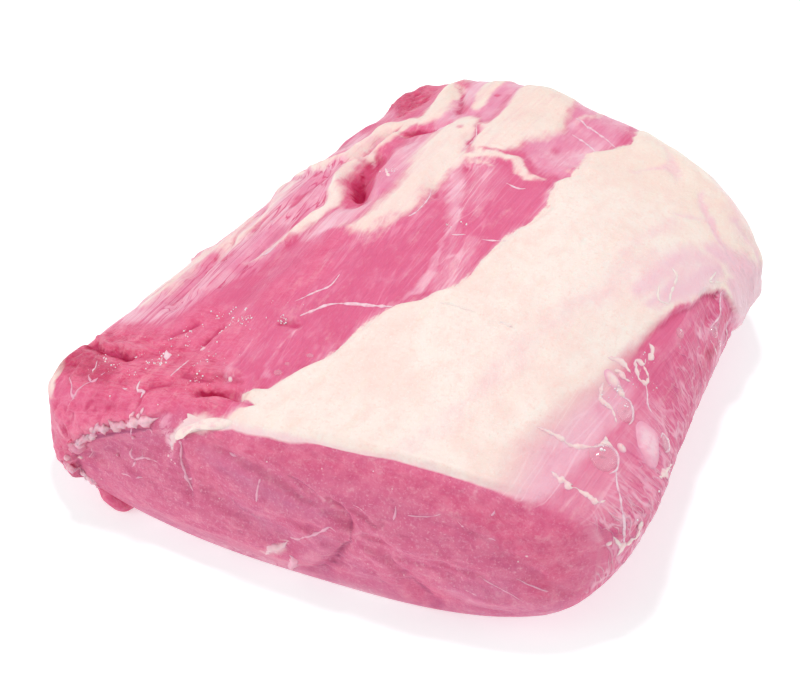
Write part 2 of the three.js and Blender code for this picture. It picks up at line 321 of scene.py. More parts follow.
SIDE_VEIL = [  # membrane
    (0.75, 6, [(-92, 46, 14), (-82, 36, 20), (-80, 10, 22), (-80, -16, 20), (-84, -30, 20),
        (-90, -46, 18), (-92, -54, 6)]),
    (0.85, 5, [(-48, 86, 14), (-44, 66, 12), (-40, 54, 8)]),
    (1, 5, [(-34, 82, 5), (-31, 70, 5), (-28, 60, 4)]),
    (0.85, 4, [(-26, 74, 5), (-24, 58, 4), (-25, 40, 4), (-26, 24, 3)]),
    (0.75, 5, [(-48, 44, 6), (-45, 28, 6), (-42, 8, 6), (-48, -6, 9), (-54, -14, 7)]),
    (0.85, 5, [(4, 56, 6), (0, 47, 5), (8, 40, 5), (16, 36, 4)]),
    (0.8, 6, [(10, 88, 12), (14, 66, 9), (14, 48, 7), (10, 36, 4)]),
    (0.75, 6, [(-22, 26, 3), (-16, 15, 4), (-13, 5, 3)]),
    (0.45, 9, [(-16, 30, 6), (-6, 22, 7), (-6, 8, 5)]),
    (0.5, 6, [(-12, 4, 3), (-2, -16, 3), (2, -32, 2)]),
    (0.35, 9, [(-51, -54, 5), (-44, -64, 5), (-38, -72, 4)]),
    (0.3, 9, [(-40, -30, 4), (-34, -18, 4), (-26, -2, 3)]),
    (0.75, 2.4, [(-16.5, 15, 1.4), (-13, 8.5, 1.1), (-9.5, 2.6, 2.1), (-9.3, -3, 1.7),
        (-9.6, -9, 0.6), (-8, -14, 1.4), (-6.6, -20, 1.8), (-5, -25, 2.7), (-6, -31, 1.8),
        (-7.6, -38, 0.6)]),
    (0.45, 4, [(1, -8, 3), (3, -18, 4), (-1, -29, 3)]),
    (0.55, 1.4, [(-43.2, -73, 0.6), (-42.6, -78, 1), (-41, -82, 1.7)]),
    (0.6, 1.3, [(-31.6, -57, 0.4), (-33, -67, 0.9), (-32.3, -73, 1.1), (-30.5, -78, 1.5)]),
    (0.45, 2.5, [(-17, 20, 2), (-20, 14, 2), (-24, 8, 1)]),
    (0.85, 12, [(50, -84, 7), (53, -64, 8), (56, -47, 7), (61, -36, 5), (63, -28, 3)]),
    (0.5, 12, [(62, -80, 10), (74, -60, 14), (76, -42, 11), (70, -28, 5)]),
    (0.35, 9, [(98, -60, 8), (94, -44, 8), (94, -20, 3), (97, 6, 3), (98, 22, 3)]),
    (0.3, 14, [(86, -84, 8), (100, -72, 10)]),
    (0.8, 3, [(76, -76.5, 1.6), (82, -76, 2.2), (86, -75, 1.2)]),
    (0.7, 2.5, [(77, 34, 1), (79.5, 30, 1.1), (82, 26, 1.5), (81.5, 20, 1.6), (79, 12, 1.4)]),
    (0.35, 4, [(80, 8, 0.8), (79, -2, 1), (82, -12, 2), (86, -24, 4)]),
    (0.8, 4, [(86, 38, 2.5), (92, 30, 2.5), (97, 22, 3)]), (0.85, 5, [(84, 46, 8), (100, 46, 10)])]
SIDE_BARE = [  # bare muscle, where neither fat nor membrane lies
    (1, 2, [(-97, 88, 6), (-88, 84, 9), (-80, 77, 9), (-73, 67, 7.5), (-70.5, 59, 5),
        (-70, 54, 3.4), (-71.5, 50, 1.6)]),
    (1, 2, [(-96, 96, 8), (-84, 92, 7), (-76, 90, 4)]),
    (0.85, 2, [(-84, 62, 4), (-80, 52, 4), (-78, 44, 2)]),
    (0.9, 2, [(-96, 37, 5), (-86, 36, 5), (-78, 34, 4), (-75, 29.5, 2)]),
    (0.9, 1.2, [(-57, 45.5, 1.4), (-54.5, 48, 2.2), (-51, 48.5, 1.2)]),
    (0.7, 1.2, [(-50, 49, 0.6), (-46, 50.5, 0.6), (-41, 53, 0.4)]),
    (0.7, 1.2, [(-63.5, 45, 0.5), (-64, 38, 1), (-67, 33, 0.7), (-67.5, 28, 0.3)]),
    (0.75, 1.2, [(-62, 32.5, 0.7), (-58, 36, 1.3), (-54.5, 39, 0.7)]),
    (0.6, 1.5, [(-57, 30, 0.8), (-51, 31, 1.3), (-49, 37, 1.2), (-51.5, 44, 0.7)]),
    (0.9, 2.5, [(-64, 28, 1.4), (-60, 20, 3.4), (-55.5, 12, 4.2), (-53, 4, 2.6), (-52, 1, 1.5)]),
    (0.9, 1.2, [(-74.3, -3, 0.4), (-75, 3, 1.3), (-75, 8, 2), (-73.5, 13, 1.7),
        (-70.5, 17.5, 0.8)]),
    (0.95, 1.2, [(-79, -27.5, 1.4), (-84, -28.5, 2.4), (-85, -32, 2), (-83.5, -37, 1.8),
        (-84, -42, 1.3), (-85.5, -47, 1.1), (-86, -52, 1)]),
    (0.6, 2, [(-60, 83, 1), (-51.5, 72.5, 1), (-48, 67, 1.4), (-43, 62.5, 2.2)]),
    (0.8, 1.5, [(-33, 74, 1.4)]),
    (0.55, 2.5, [(-28.5, 75, 1.4), (-26.4, 66, 2.4), (-24.3, 59, 2), (-25, 54, 2.4)]),
    (0.6, 2, [(-33.5, 46.7, 1.6)]),
    (0.6, 1.6, [(-27.8, 51, 1), (-24.8, 44, 1.2), (-23.6, 38, 1.2), (-22.4, 32, 1)]),
    (0.6, 1.2, [(-19, 34.5, 0.4), (-14, 34.5, 0.8), (-8.4, 35.2, 0.9), (-2, 37.2, 1)]),
    (0.8, 2.5, [(-67, 93, 2), (-60, 86, 2), (-55, 81, 0.8)]),
    (0.5, 1.6, [(-61, -17, 0.6), (-60.3, -23, 0.8), (-58.6, -31, 1)])]
SIDE_TORN = [  # torn flesh
    (1, 5, [(-100, 90, 9), (-88, 84, 8), (-80, 75, 7), (-73, 62, 3)]),
    (1, 4, [(-96, -84, 6), (-100, -74, 6), (-92, -90, 6)]),
    (1, 12, [(-98, -78, 14), (-76, -82, 15), (-56, -84, 13), (-42, -89, 6)]),
    (0.55, 14, [(-64, -62, 11), (-50, -66, 8)]),
    (0.35, 8, [(-42, -22, 4), (-40, -36, 5), (-46, -46, 6)]),
    (0.7, 5, [(-88, 84, 9), (-80, 77, 9), (-71, 62, 4)]), (0.5, 4, [(-84, 36, 5)]),
    (0.6, 3, [(-86, -25, 3), (-83, -30, 2)]), (0.7, 2, [(-57, 45.5, 1.4), (-51, 48.5, 1.2)]),
    (0.8, 2, [(-64, 26, 0.8), (-61.5, 19, 1), (-57.5, 11, 1.1), (-56, 7, 0.8)]),
    (0.6, 3, [(-33, 74, 1.5)]), (0.35, 5, [(81, 33, 2), (85, 29, 3)]),
    (0.45, 5, [(86, 10, 4), (87, 16, 3)]), (0.35, 8, [(60, -84, 4), (88, -82, 5)])]
SIDE_SHADE_AND_JUICE = [  # dark juice, and painted shade in the hollows, crevices and tears
    (0.95, 1.2, [(-62, 23, 0.4), (-59, 18, 0.9), (-56, 13, 1.9), (-54.3, 9, 1.7)]),
    (0.6, 1.5, [(-56.5, 45.8, 0.8), (-54, 47.5, 1.3), (-51.5, 48.3, 0.5)]),
    (1, 0.9, [(-47, -88.5, 0.5), (-43.5, -87.4, 1), (-39, -86.1, 0.8), (-34.5, -86.3, 0.4)]),
    (0.9, 1, [(-104, -73.2, 0.3), (-99, -75.2, 0.8), (-92, -77.2, 1), (-88, -76.8, 1.5),
        (-85, -77.2, 1.1), (-80.5, -78.4, 0.4)]),
    (0.5, 1.6, [(-71.5, -67, 1), (-69.5, -64, 1.1), (-68, -60.5, 0.6)]),
    (0.55, 1.4, [(-57.5, -69, 0.7), (-58.2, -66, 0.9), (-57.2, -63, 0.5)]),
    (0.45, 1.4, [(-56, -85, 0.5), (-49, -84.8, 0.9), (-43, -83, 0.6), (-37.5, -83, 0.4)]),
    (0.4, 1.4, [(-62.5, -90.5, 0.4), (-58.3, -88.8, 0.8)]),
    (0.6, 1, [(-79.5, -29.5, 0.8), (-85, -27.5, 1.2)]),
    (0.4, 5, [(-84, 86, 2), (-75, 76, 2.5), (-70, 63, 1.5)]),
    (0.45, 2.4, [(-38.5, -56.5, 0.9), (-34, -55.4, 0.6)]), (0.3, 3, [(-43, 63, 1.2)]),
    (0.35, 4, [(80, 34, 0.8), (84.5, 30, 1.5)]), (0.5, 3, [(86, 12.5, 2.2), (88.6, 19, 0.8)]),
    (0.3, 3, [(98, -77, 1), (97, -72, 0.6)]),
    (0.5, 12, [(-106, -82, 7), (-98, -84, 8), (-86, -88, 7)]),
    (0.35, 8, [(-104, 90, 10), (-92, 84, 9), (-82, 74, 7), (-72, 60, 2)]),
    (0.45, 5, [(-102, 50, 3), (-88, 47, 3)])]
SIDE_LILAC = [  # fat so thin that the muscle shows through, and painted shade on the far right of the cover
    (0.35, 14, [(18, -86, 4), (26, -60, 4), (34, -30, 4), (44, -5, 6), (50, 12, 6)]),
    (0.4, 4, [(2, -99, 3), (21, -90, 3), (44, -85, 3), (58, -80, 3)]),
    (0.7, 9, [(54, 2, 3), (57, 16, 5), (62, 28, 5), (70, 38, 3)]),
    (0.85, 6, [(59, 2, 2), (64, 14, 4), (68, 26, 4), (72, 37, 3)]),
    (0.9, 4, [(54, 61, 0.8), (61, 53.4, 1.2), (69, 47.4, 1.2), (77, 48, 1.6)]),
    (0.9, 4, [(67, 61, 0.8), (76, 62.5, 1.2), (84, 59, 1.2)]),
    (0.7, 4, [(33, 52.5, 0.6), (41.6, 64, 1), (46, 60, 0.6)]),
    (0.7, 4, [(36, 75, 0.8), (41, 68, 1), (46, 62, 0.6)]), (0.7, 4, [(52, 44, 0.8), (60, 50.4, 1)]),
    # painted shade: pink laid where the far right of the cover turns from the light, standing in
    # for light that shines through the meat
    (1, 9, [(66, 40, 2), (76, 47, 5), (90, 52, 9), (100, 64, 12), (96, 90, 10)]),
    (1, 5, [(80, 40, 4), (90, 42, 6), (98, 40, 6)]),
    (0.5, 10, [(60, 100, 6), (64, 76, 8), (74, 64, 8)]),
    (0.4, 9, [(44.5, 12, 2), (50, 25, 3), (52.4, 40, 2)])]
SIDE_WRINKLE = [  # creased flank
    (1, 6, [(78, -72, 2), (88, -62, 8), (90, -46, 8), (88, -28, 6), (90, -8, 6)]),
    (1, 6, [(76, -58, 3), (78, -44, 4), (74, -30, 1)]), (0.7, 6, [(82, 0, 4), (92, 10, 5)]),
    (1, 6, [(96, 38, 8), (102, 60, 8)]), (0.7, 6, [(108, -60, 9), (106, 30, 9)])]
SIDE_RELIEF = [
    (-4.5, 5.5, [(-61, 29), (-55, 15), (-49, 4)]), (-2.6, 1.8667, [(-60, 20), (-56, 13), (-54, 8)]),
    (1.8, 5, [(-68, 26), (-62, 8)]), (0.8, 1.7, [(-72, -2), (-71, -26), (-74, -46)]),
    (-0.8, 1.5, [(-68.6, 0), (-67.6, -22), (-70, -44)]),
    (-0.9, 1.6, [(-77, 22), (-77.6, -6), (-78.6, -20)]),
    (0.8, 2, [(-90, 10), (-90, -20), (-92, -44)]),
    (-0.8, 1.8, [(-94.6, 12), (-95, -18), (-96, -44)]), (2, 6, [(-51, 30), (-43, 8)]),
    (1.2, 7, [(-35, 44), (-34, 20), (-31, -4)]),
    (-1.3, 2.4, [(-26, 46), (-25, 34), (-26, 20), (-22, 8)]),
    (-1.6, 5, [(-19, 26), (-11, 2), (-5, -30)]), (1.5, 11, [(-14, 82), (-12, 42)]),
    (-1.2, 7, [(14, 86), (8, 50)]), (1.6, 16, [(-45, -70), (-42, -10)]),
    (-1.8, 6, [(-60, -60), (-61, 0)]), (1.6, 9, [(-80, -45), (-76, 20), (-70, 60)]),
    (-1.5, 2, [(-74.5, -4), (-75, 8), (-71, 17)]), (-1.3, 1.8, [(-64, 45), (-67, 33), (-67.5, 25)]),
    (1.3, 2, [(-60, 45), (-62, 35), (-65, 27), (-62, 12), (-59, 0), (-62, -16)]),
    (1.3, 3, [(-68, 48), (-70, 36), (-75, 25), (-88, 28)]),
    (-2.2, 4, [(-85, -22), (-86, -36), (-82, -52)]),
    (-1.3, 1.6, [(-79, -28), (-85, -29), (-83.5, -38), (-86, -50)]),
    (1.2, 4, [(-64, 82), (-58, 72), (-54, 62)]), (-1.6, 2, [(-59, 82), (-51, 72), (-44, 63)]),
    (-1.5, 2.2, [(-57, 45.5), (-51, 48.5), (-42, 52.5)]), (-1, 9, [(-80, 60), (-74, 84)]),
    (1.6, 5, [(-94, 84), (-90, 90)]), (1.2, 4, [(-96, 62), (-98, 56)]),
    (1.2, 4, [(-100, 30), (-102, 22)]), (1.4, 3, [(-103, -14), (-101, -18)]),
    (-2, 6, [(-100, -72), (-84, -78), (-60, -74)]),
    (-2.4, 1.46, [(-104, -73), (-99, -75.4), (-92, -77.4), (-86, -77.2), (-80, -78.6)]),
    (1.8, 2.2, [(-103, -70), (-94, -74), (-86, -74), (-78, -75.4)]),
    (-3.2, 1.8, [(-47, -88.6), (-41, -86.8), (-34, -86.4)]), (1.4, 2.5, [(-52, -81), (-40, -80.5)]),
    (1.4, 2.6, [(-50, -92), (-40, -91)]), (-1.4, 1.8, [(-72, -67), (-68, -60)]),
    (-1.6, 1.6, [(-57.5, -69), (-57.5, -63)]), (-1.2, 1.4, [(-56, -85), (-46, -84), (-37.5, -83)]),
    (-1.2, 1.5, [(-62.5, -90.5), (-58, -88.5)]), (-1.3, 1.8, [(-39, -57), (-33.5, -55.4)]),
    (-1.8, 9, [(76, 30), (84, 0), (72, -20)]), (1.2, 6, [(64, -24), (84, -42), (86, -62)]),
    (-1, 4, [(80, 20), (92, 32)]), (0.9, 1.4, [(77, 34), (82, 26), (81, 18)]),
    (-0.35, 1, [(32, 8), (37, 9), (42, 8.6)]), (-0.35, 1, [(13, -5.6), (18, -7.6), (23, -7.2)]),
    (-0.3, 1, [(38, -82), (44, -80.4), (52, -80.8)]),
    (-0.5, 1.4, [(33, 52.5), (41.6, 64), (46, 60)]),
    (-0.6, 1.4, [(54, 61), (61, 53.4), (69, 47.4), (77, 48)]),
    (-0.6, 1.4, [(67, 61), (76, 62.5), (83, 60)]), (-0.5, 1.3, [(52, 44), (60, 50.4)]),
    (-0.5, 1.4, [(36, 75), (41, 68), (46, 62)]), (0.5, 3, [(44, 72), (54, 68), (66, 68)]),
    (0.8, 2, [(66, -53), (72, -62), (84, -67), (95, -68)])]

# ---- what lies where on the cuts ----
# The same, with x and z in place of across and y.

EYE_TOP = [  # (x, z) of the eye muscle's upper edge, below the cut edge of the fat
    (-36, 38), (-34.4, 40.2), (-30.7, 43.3), (-27.7, 44.7), (-21, 46.5), (-18, 47.7), (-9, 48.8),
    (0, 50), (8, 51.2), (14, 51.6), (21, 52), (30, 52.6), (45, 52), (57, 50.3), (63, 48.3),
    (67.4, 46.3), (69, 45.4), (72, 60)]
LEDGE = [  # (x, z) of the torn ledge above the smooth left part of the cut
    (-95, -9), (-74, 2), (-72, 14), (-71, 21), (-68.6, 25.5), (-65.8, 29.8), (-61.4, 34.2),
    (-56, 36.6), (-50.3, 39.2), (-44, 42.4), (-39, 45)]
FRONT_CREAM = [
    (1, 1.2, [(-36.5, 36, 0.7), (-36, 40, 1.2), (-34, 43, 1.4), (-30, 45.5, 1.6), (-25, 47.8, 2),
        (-18, 50, 2)]),
    (0.8, 1.5, [(-87, 32, 1.2), (-88, 29, 2), (-89.5, 24, 1.2)]),
    (0.7, 1, [(-5.3, 8.9, 0.4), (-2.5, 12.6, 0.8), (0, 14.6, 0.8), (2, 17.4, 0.5)])]
FRONT_VEIL = [
    (0.8, 2, [(-39, 43.5, 1.6), (-37.5, 38, 1.5), (-36, 33.5, 0.9)]),
    (0.5, 5, [(-88, 22, 2), (-82, 14, 3), (-74, 8, 3)]),
    (0.6, 5, [(-60, 2, 2), (-30, 2, 3), (0, 2, 3), (40, 1, 3)]),
    (0.35, 4, [(52, 14, 3), (66, 16, 4), (78, 18, 3)]), (0.35, 14, [(86, 36, 3), (88, 14, 3)]),
    (0.5, 2.5, [(-4, 4, 2), (3, 7, 2), (6, 3, 2)])]
FRONT_TORN = [
    (0.42, 7, [(-28, 42, 2), (0, 47, 3), (35, 49, 3), (60, 44, 4), (76, 36, 7)]),
    (0.35, 7, [(-30, 38, 2), (-24, 30, 3)]), (0.5, 12, [(72, 38, 3), (80, 34, 5), (76, 24, 4)]),
    (0.35, 8, [(40, 8, 4), (48, 10, 4)])]
# painted shade and dark juice on the cut: its cracks and seams, and a painted shadow under the torn
# ledge
FRONT_SHADE_AND_JUICE = [
    (0.6, 1.1, [(21.4, 30, 0.2), (20.8, 25, 0.4), (19.6, 22, 0.6), (17, 16.6, 0.5), (15.4, 13, 0.5),
        (12.4, 10, 0.4), (9.6, 9, 0.3), (9.2, 6.4, 0.4), (11.8, 3.6, 0.2)]),
    (0.4, 2.4, [(19, 20.5, 0.8), (22, 19.8, 0.4)]), (0.3, 5, [(-6, 22, 1.5), (2, 21.5, 1.5)]),
    (0.75, 1.4, [(-72, 20, 0.3), (-68, 24, 0.6), (-65, 28.4, 0.7), (-61, 32.4, 0.9),
        (-56, 34.8, 0.7), (-50, 37.4, 0.7), (-43, 41, 0.4)]),
    (0.5, 1, [(33, 22.7, 0.2), (34.5, 21, 0.5), (37.5, 18, 0.2)]),
    (0.5, 1.6, [(38.4, 16, 0.3), (42, 11, 0.9), (45, 8, 0.3)]),
    (0.6, 0.8, [(2, 40.9, 0.1), (4.6, 40.4, 0.25), (8.4, 39, 0.3), (12.5, 37.4, 0.1)]),
    (0.55, 0.8, [(14.6, 38.4, 0.1), (16, 37.3, 0.25), (18.6, 35.6, 0.3), (20.8, 33.7, 0.3),
        (21.6, 30.6, 0.2)]),
    (0.4, 0.8, [(22, 36.6, 0.1), (23.8, 35.8, 0.25), (29, 33.8, 0.3), (31, 35, 0.1)]),
    (0.4, 1, [(25.9, 28.9, 0.1), (27, 27.6, 0.3), (33.7, 28, 0.1)]),
    (0.5, 2, [(-75, 25.5, 0.6), (-70.5, 31.5, 0.5)]),
    (0.4, 2.4, [(-68, 37, 0.5), (-57.4, 40.4, 0.8), (-51.5, 42.8, 0.6)]),
    (0.35, 1.4, [(-20, 29, 0.2), (-13.8, 24.8, 0.5), (-6.3, 21.2, 0.5), (-3.4, 19.7, 0.2)]),
    (0.3, 1.2, [(-19.8, 41.6, 0.2), (-8, 40.4, 0.4), (0, 38, 0.2)]),
    (0.35, 1, [(46, 26, 0.1), (54, 24.5, 0.3), (60, 25.4, 0.1)]),
    (0.3, 1.6, [(56, 38, 0.2), (62, 35.6, 0.5), (68, 31, 0.2)]),
    (0.35, 1, [(28, 14, 0.1), (31, 9, 0.3), (33, 4, 0.1)]),
    (0.3, 1, [(52, 11, 0.1), (60, 8.6, 0.3), (68, 9, 0.1)])]
FRONT_GREY_AND_SHADE = [  # greyer, bluer muscle, and painted shade along the valleys and the foot of the cut
    (0.9, 6, [(-26, 40, 1.5), (-12, 37, 3), (0, 33, 3), (14, 33, 2)]),
    (0.8, 6, [(-14, 25, 2), (-4, 21, 3), (4, 20, 2)]),
    (0.8, 9, [(-48, 4, 4), (0, 2, 4), (50, 5, 5), (80, 12, 5)]),
    (0.6, 3, [(9, 14, 3), (14.5, 22, 4)]), (0.7, 6, [(22, 14, 3), (30, 6, 4)]),
    (0.4, 5, [(-46, 36, 3), (-58, 26, 4)]), (0.6, 7, [(54, 16, 5), (66, 22, 4)])]
FRONT_RELIEF = [
    (2.4, 4, [(-67, 28), (-56, 37.5), (-43, 43.5)]), (-1.6, 4.5, [(-64, 22), (-52, 31), (-40, 37)]),
    (2, 17, [(-5, 36), (55, 32)]), (-1.5, 2.2, [(-20, 42), (-8, 40.4), (6, 36.6), (18, 33)]),
    (-1.7, 4.5, [(-22, 29), (-10, 22.6), (1, 20.5)]),
    (-1, 2.4, [(21, 31), (20, 22), (17, 15.6), (12.4, 9), (9, 6)]),
    (-0.8, 0.9, [(20, 22.5), (17, 16.6), (12.4, 10), (9.2, 7), (11.8, 3)]),
    (1.6, 3.6, [(8.4, 12.5), (13.6, 19)]),
    (0.3, 1.4, [(3, 19.6), (8.6, 22.6), (15, 28.4), (19, 28)]), (2, 12, [(-45, 14), (-8, 10)]),
    (1.2, 4, [(-2, 8), (3, 8)]), (-1.2, 1.6, [(33, 22.7), (37.5, 18)]),
    (0.8, 2, [(34, 29), (42, 29.6), (46, 27.6)]), (-1.8, 3.4, [(39, 14), (46, 7)]),
    (-0.9, 1.1, [(2, 41), (4.6, 40.4), (8.4, 39), (12.5, 37.4)]),
    (-1.1, 1.1, [(15, 38), (18.6, 35.6), (20.8, 33.6), (21.6, 30)]),
    (0.9, 2, [(13, 33.6), (18, 31)]), (-0.8, 1, [(22, 36.6), (29, 33.8), (31, 35)]),
    (-0.7, 1, [(25.9, 28.9), (33.7, 28)]), (-0.7, 1.2, [(46, 26), (54, 24.5), (60, 25.4)]),
    (-0.7, 1.2, [(28, 14), (33, 4)]), (-0.6, 1.2, [(52, 11), (68, 9)]),
    (0.7, 3, [(50, 17), (62, 16)]), (-0.7, 2, [(24, 26), (34, 25), (52, 23)]),
    (-0.7, 2, [(56, 38), (70, 32), (80, 22)]), (0.9, 4, [(58, 14), (74, 16)]),
    (-0.9, 1.2, [(-33, 38), (-31, 30), (-29, 24)]), (-1.4, 1.3, [(-51.5, 44.5), (-49.6, 43)]),
    (-1.5, 1.8, [(-68, 36.4), (-57.4, 40), (-51, 42.4)])]
FAR_OUTLINE = [(-74, 30), (-40, 56), (0, 64), (40, 60), (77, 38)]
FAR_FAT_SHARE = 0.86  # the fat starts at this share of the height of the outline
FAR_RELIEF = [
    (2.4, 15, [(-20, 34), (35, 36)]), (-2.2, 5, [(-52, 32), (-20, 17), (30, 15), (58, 28)]),
    (-1.8, 4.5, [(-40, 50), (0, 54), (40, 48)]), (2, 9, [(-58, 24), (-46, 20)])]
FAR_CREAM = [
    (0.9, 2, [(-54, 34, 1.6), (-40, 27, 0.6), (-22, 17.5, 1.4), (4, 14, 0.5), (30, 15, 1.1),
        (46, 21, 0.6), (58, 28, 2)]),
    (0.8, 1.5, [(-40, 50, 1), (-22, 52, 0.5), (-8, 54, 1.2), (16, 52, 0.4), (40, 48, 1.5)]),
    (0.7, 2, [(-30, 6, 2), (-8, 4, 3), (14, 5, 1)])]

RELIEF_STARTS_Z, RELIEF_FULL_Z = 2.0, 14.0
COVER_THICKNESS, PLUMP_THICKNESS = 1.8, 1.1
COVER_ENDS_ACROSS, COVER_FADES_OVER = 150, 20
COVER_REACH = 8.0  # the cover's layer tells depths up to this; bare places say minus this
EYE_LEFT, EYE_RIGHT = -34, 72  # where the fat rim of the front cut begins and ends
RIM_THINS_FROM, RIM_THINS_OVER = 54, 20
LEDGE_RIGHT = -36
UNDER_FROM, UNDER_OVER = 118, 14  # where the flanks turn under, in mm across
MARGIN_VEIL, MARGIN_REACH, MARGIN_SOFTNESS = 0.6, 2, 5  # membrane outside the cover
MARGIN_FROM, MARGIN_OVER = -60, 20
HALO_VEIL, HALO_SOFTNESS = 0.7, 3.5  # membrane round strands of fat
# The share of the rounded edge where a cut's layers give way to those of the sides.
FRONT_GIVES_WAY, FAR_GIVES_WAY, WAY_SOFTNESS = 0.5, 0.25, 0.3
FIBRE_RELIEF, WRINKLE_RELIEF, COVER_RELIEF, PLUMP_RELIEF = 0.12, 0.75, 0.25, 0.3
TORN_LUMPS, TORN_SHREDS = 1.6, 0.6
LEDGE_STEP, LEDGE_LUMPS, LEDGE_SHREDS = 2.2, 1.3, 0.5
HOLLOW_SPREAD = 14  # rounds of smoothing that a hollow is measured against


def curve_at(points, u):
    """The second coordinate of an edge drawn point by point, read at the first."""
    first, second = zip(*points)
    return np.interp(u, first, second)


def cover_depth(across, y):
    """mm inside the sharp left and front edges of the fat cover, and how far it has thinned."""
    depth = np.minimum(across - curve_at(COVER_LEFT, y), y - curve_at(COVER_FRONT, across))
    at, edge, softness = zip(*COVER_RIGHT)
    thinned = ease((across - np.interp(y, at, edge)) / np.interp(y, at, softness) + 0.5)
    return depth, thinned


def shreds(at, size):
    """Heights of fine shreds: ridges where a noise passes through its middle value."""
    return 0.4 - np.abs(lumps(at, size, 17, 1))


def side_relief(across, y, at):
    """Height of the sides: drawn seams and folds, the fat cover's step, and finer grain."""
    a = across + 1.2 * lumps(at, 8, 11)
    b = y + 1.5 * lumps(at, 9, 12)
    depth, thinned = cover_depth(a, y + 0.25 * lumps(at, 7, 48))
    above = ease((COVER_ENDS_ACROSS - np.abs(across)) / COVER_FADES_OVER)
    cover = ease(depth / 3) * (1 - thinned) * above
    torn = paint(a, b, SIDE_TORN[:2])
    plump = paint(a, b, SIDE_CREAM)
    height = swell(a, b, SIDE_RELIEF) + COVER_THICKNESS * cover + PLUMP_THICKNESS * plump
    fibres = lumps(at, (2.2, 26, 2.2), 14) * (1 - cover) * (1 - torn)
    ragged = np.abs(lumps(at, (6, 3.6, 6), 15, 3))
    creases = together(across, y, 0 * y) + 2.5 * lumps(at, 9, 18)[..., None]
    creased = 1 - np.abs(lumps(creases, (9, 2.6, 1), 19, 2))
    return (height + FIBRE_RELIEF * fibres + COVER_RELIEF * cover * lumps(at, (9, 18, 9), 16)
            + WRINKLE_RELIEF * paint(a, b, SIDE_WRINKLE) * creased
            + PLUMP_RELIEF * plump * lumps(at, (3, 8, 3), 20)
            + torn * (TORN_LUMPS * (0.5 - ragged) + TORN_SHREDS * shreds(at, (3.6, 1.8, 2))))


def front_relief(x, z, at):
    """Height of the front cut: drawn seams, the torn ledge's step, and the knife's soft waves."""
    u = x + 0.9 * lumps(at, 6, 21)
    w = z + 0.7 * lumps(at, 6, 22)
    torn = ease((w - curve_at(LEDGE, u)) / 2 + 0.5) * ease((LEDGE_RIGHT - u) / 8)
    ragged = np.abs(lumps(at, 4.0, 15, 3))
    height = swell(u, w, FRONT_RELIEF) + 0.45 * lumps(at, (16, 16, 9), 23)
    ripples = 0.3 * lumps(at, (9, 9, 3), 25) + 0.2 * lumps(at, (3.5, 3.5, 2.2), 24)
    ledge = LEDGE_STEP + LEDGE_LUMPS * (0.5 - ragged) + LEDGE_SHREDS * shreds(at, (3.6, 2, 1.8))
    return height + ripples * (1 - torn) + torn * ledge


def far_relief(x, z, at):
    """Height of the far cut: drawn seams and soft waves."""
    return swell(x, z, FAR_RELIEF) + 0.5 * lumps(at, (16, 16, 9), 31) + 0.2 * lumps(at, 3.5, 32)


def smoothed(field, times):
    """A grid's values averaged with their four neighbours, many times over."""
    for _ in range(times):
        padded = np.concatenate([field[:1], field, field[-1:]])
        field = (2 * field + padded[:-2] + padded[2:] + np.roll(field, 1, 1)
                 + np.roll(field, -1, 1)) / 6
    return field


def raised(base, t, share, turn, end_side, across):
    """The skin with its relief, and how far each place lies below its surroundings in mm.

    The relief is lifted out of the oval on the sides and along y on the cuts.
    """
    out_x, out_z = oval_outward(t, share)
    sin, cos = np.sin(turn), np.cos(turn)
    direction = together(out_x * sin, end_side * cos, out_z * sin)
    x, y, z = np.moveaxis(base, -1, 0)
    sides = side_relief(across, y, base)
    ends = np.where(end_side < 0, front_relief(x, z, base), far_relief(x, z, base))
    height = mix(ends, sides, sin ** 2)
    fade = ease((z - RELIEF_STARTS_Z) / (RELIEF_FULL_Z - RELIEF_STARTS_Z))
    points = base + direction * (height * fade)[..., None]
    points[..., 2] = np.maximum(points[..., 2], 0)
    return points, smoothed(height, HOLLOW_SPREAD) - height


# ---- the body's grid ----

FACE_ROWS, FRONT_EDGE_ROWS, SIDE_ROWS, FAR_EDGE_ROWS, FAR_FACE_ROWS = 86, 30, 168, 16, 18
COLUMNS = 300
COLUMN_KEYS = [-170, -155, -135, -122, 108, 122, 140, 155]
COLUMN_WEIGHTS = [0.16, 0.5, 0.5, 1, 1, 0.5, 0.5, 0.16]
COLUMN_SAMPLES = 4001
EDGE_START = FACE_ROWS - 1
SIDE_START = EDGE_START + FRONT_EDGE_ROWS


def column_places():
    """Distances across for the grid's columns: close together over the top, wide apart below.

    They are the even steps of a running total whose weight is 1 over the top and flanks,
    a half on the undercut flanks and a sixth on the underside.
    """
    across = np.linspace(-PERIMETER / 2, PERIMETER / 2, COLUMN_SAMPLES)
    weight = np.interp(across, COLUMN_KEYS, COLUMN_WEIGHTS)
    total = np.concatenate([[0], np.cumsum((weight[1:] + weight[:-1]) / 2)])
    return np.interp(np.arange(COLUMNS) / COLUMNS * total[-1], total, across)


def body_rows():
    """turn, spoke, share and end side for each row of the grid, from front middle to far middle."""
    face = np.arange(1, FACE_ROWS) / FACE_ROWS
    front_edge = np.arange(FRONT_EDGE_ROWS) / FRONT_EDGE_ROWS * QUARTER
    sides = np.linspace(0, 1, SIDE_ROWS)
    far_edge = np.arange(FAR_EDGE_ROWS, 0, -1)[1:] / FAR_EDGE_ROWS * QUARTER
    far_face = np.arange(FAR_FACE_ROWS, 0, -1) / FAR_FACE_ROWS
    return np.concatenate([together(*columns).astype(float) for columns in (
        (0, face, 0, -1), (front_edge, 1, 0, -1), (QUARTER, 1, sides, 0),
        (far_edge, 1, 1, 1), (0, far_face, 1, 1))])


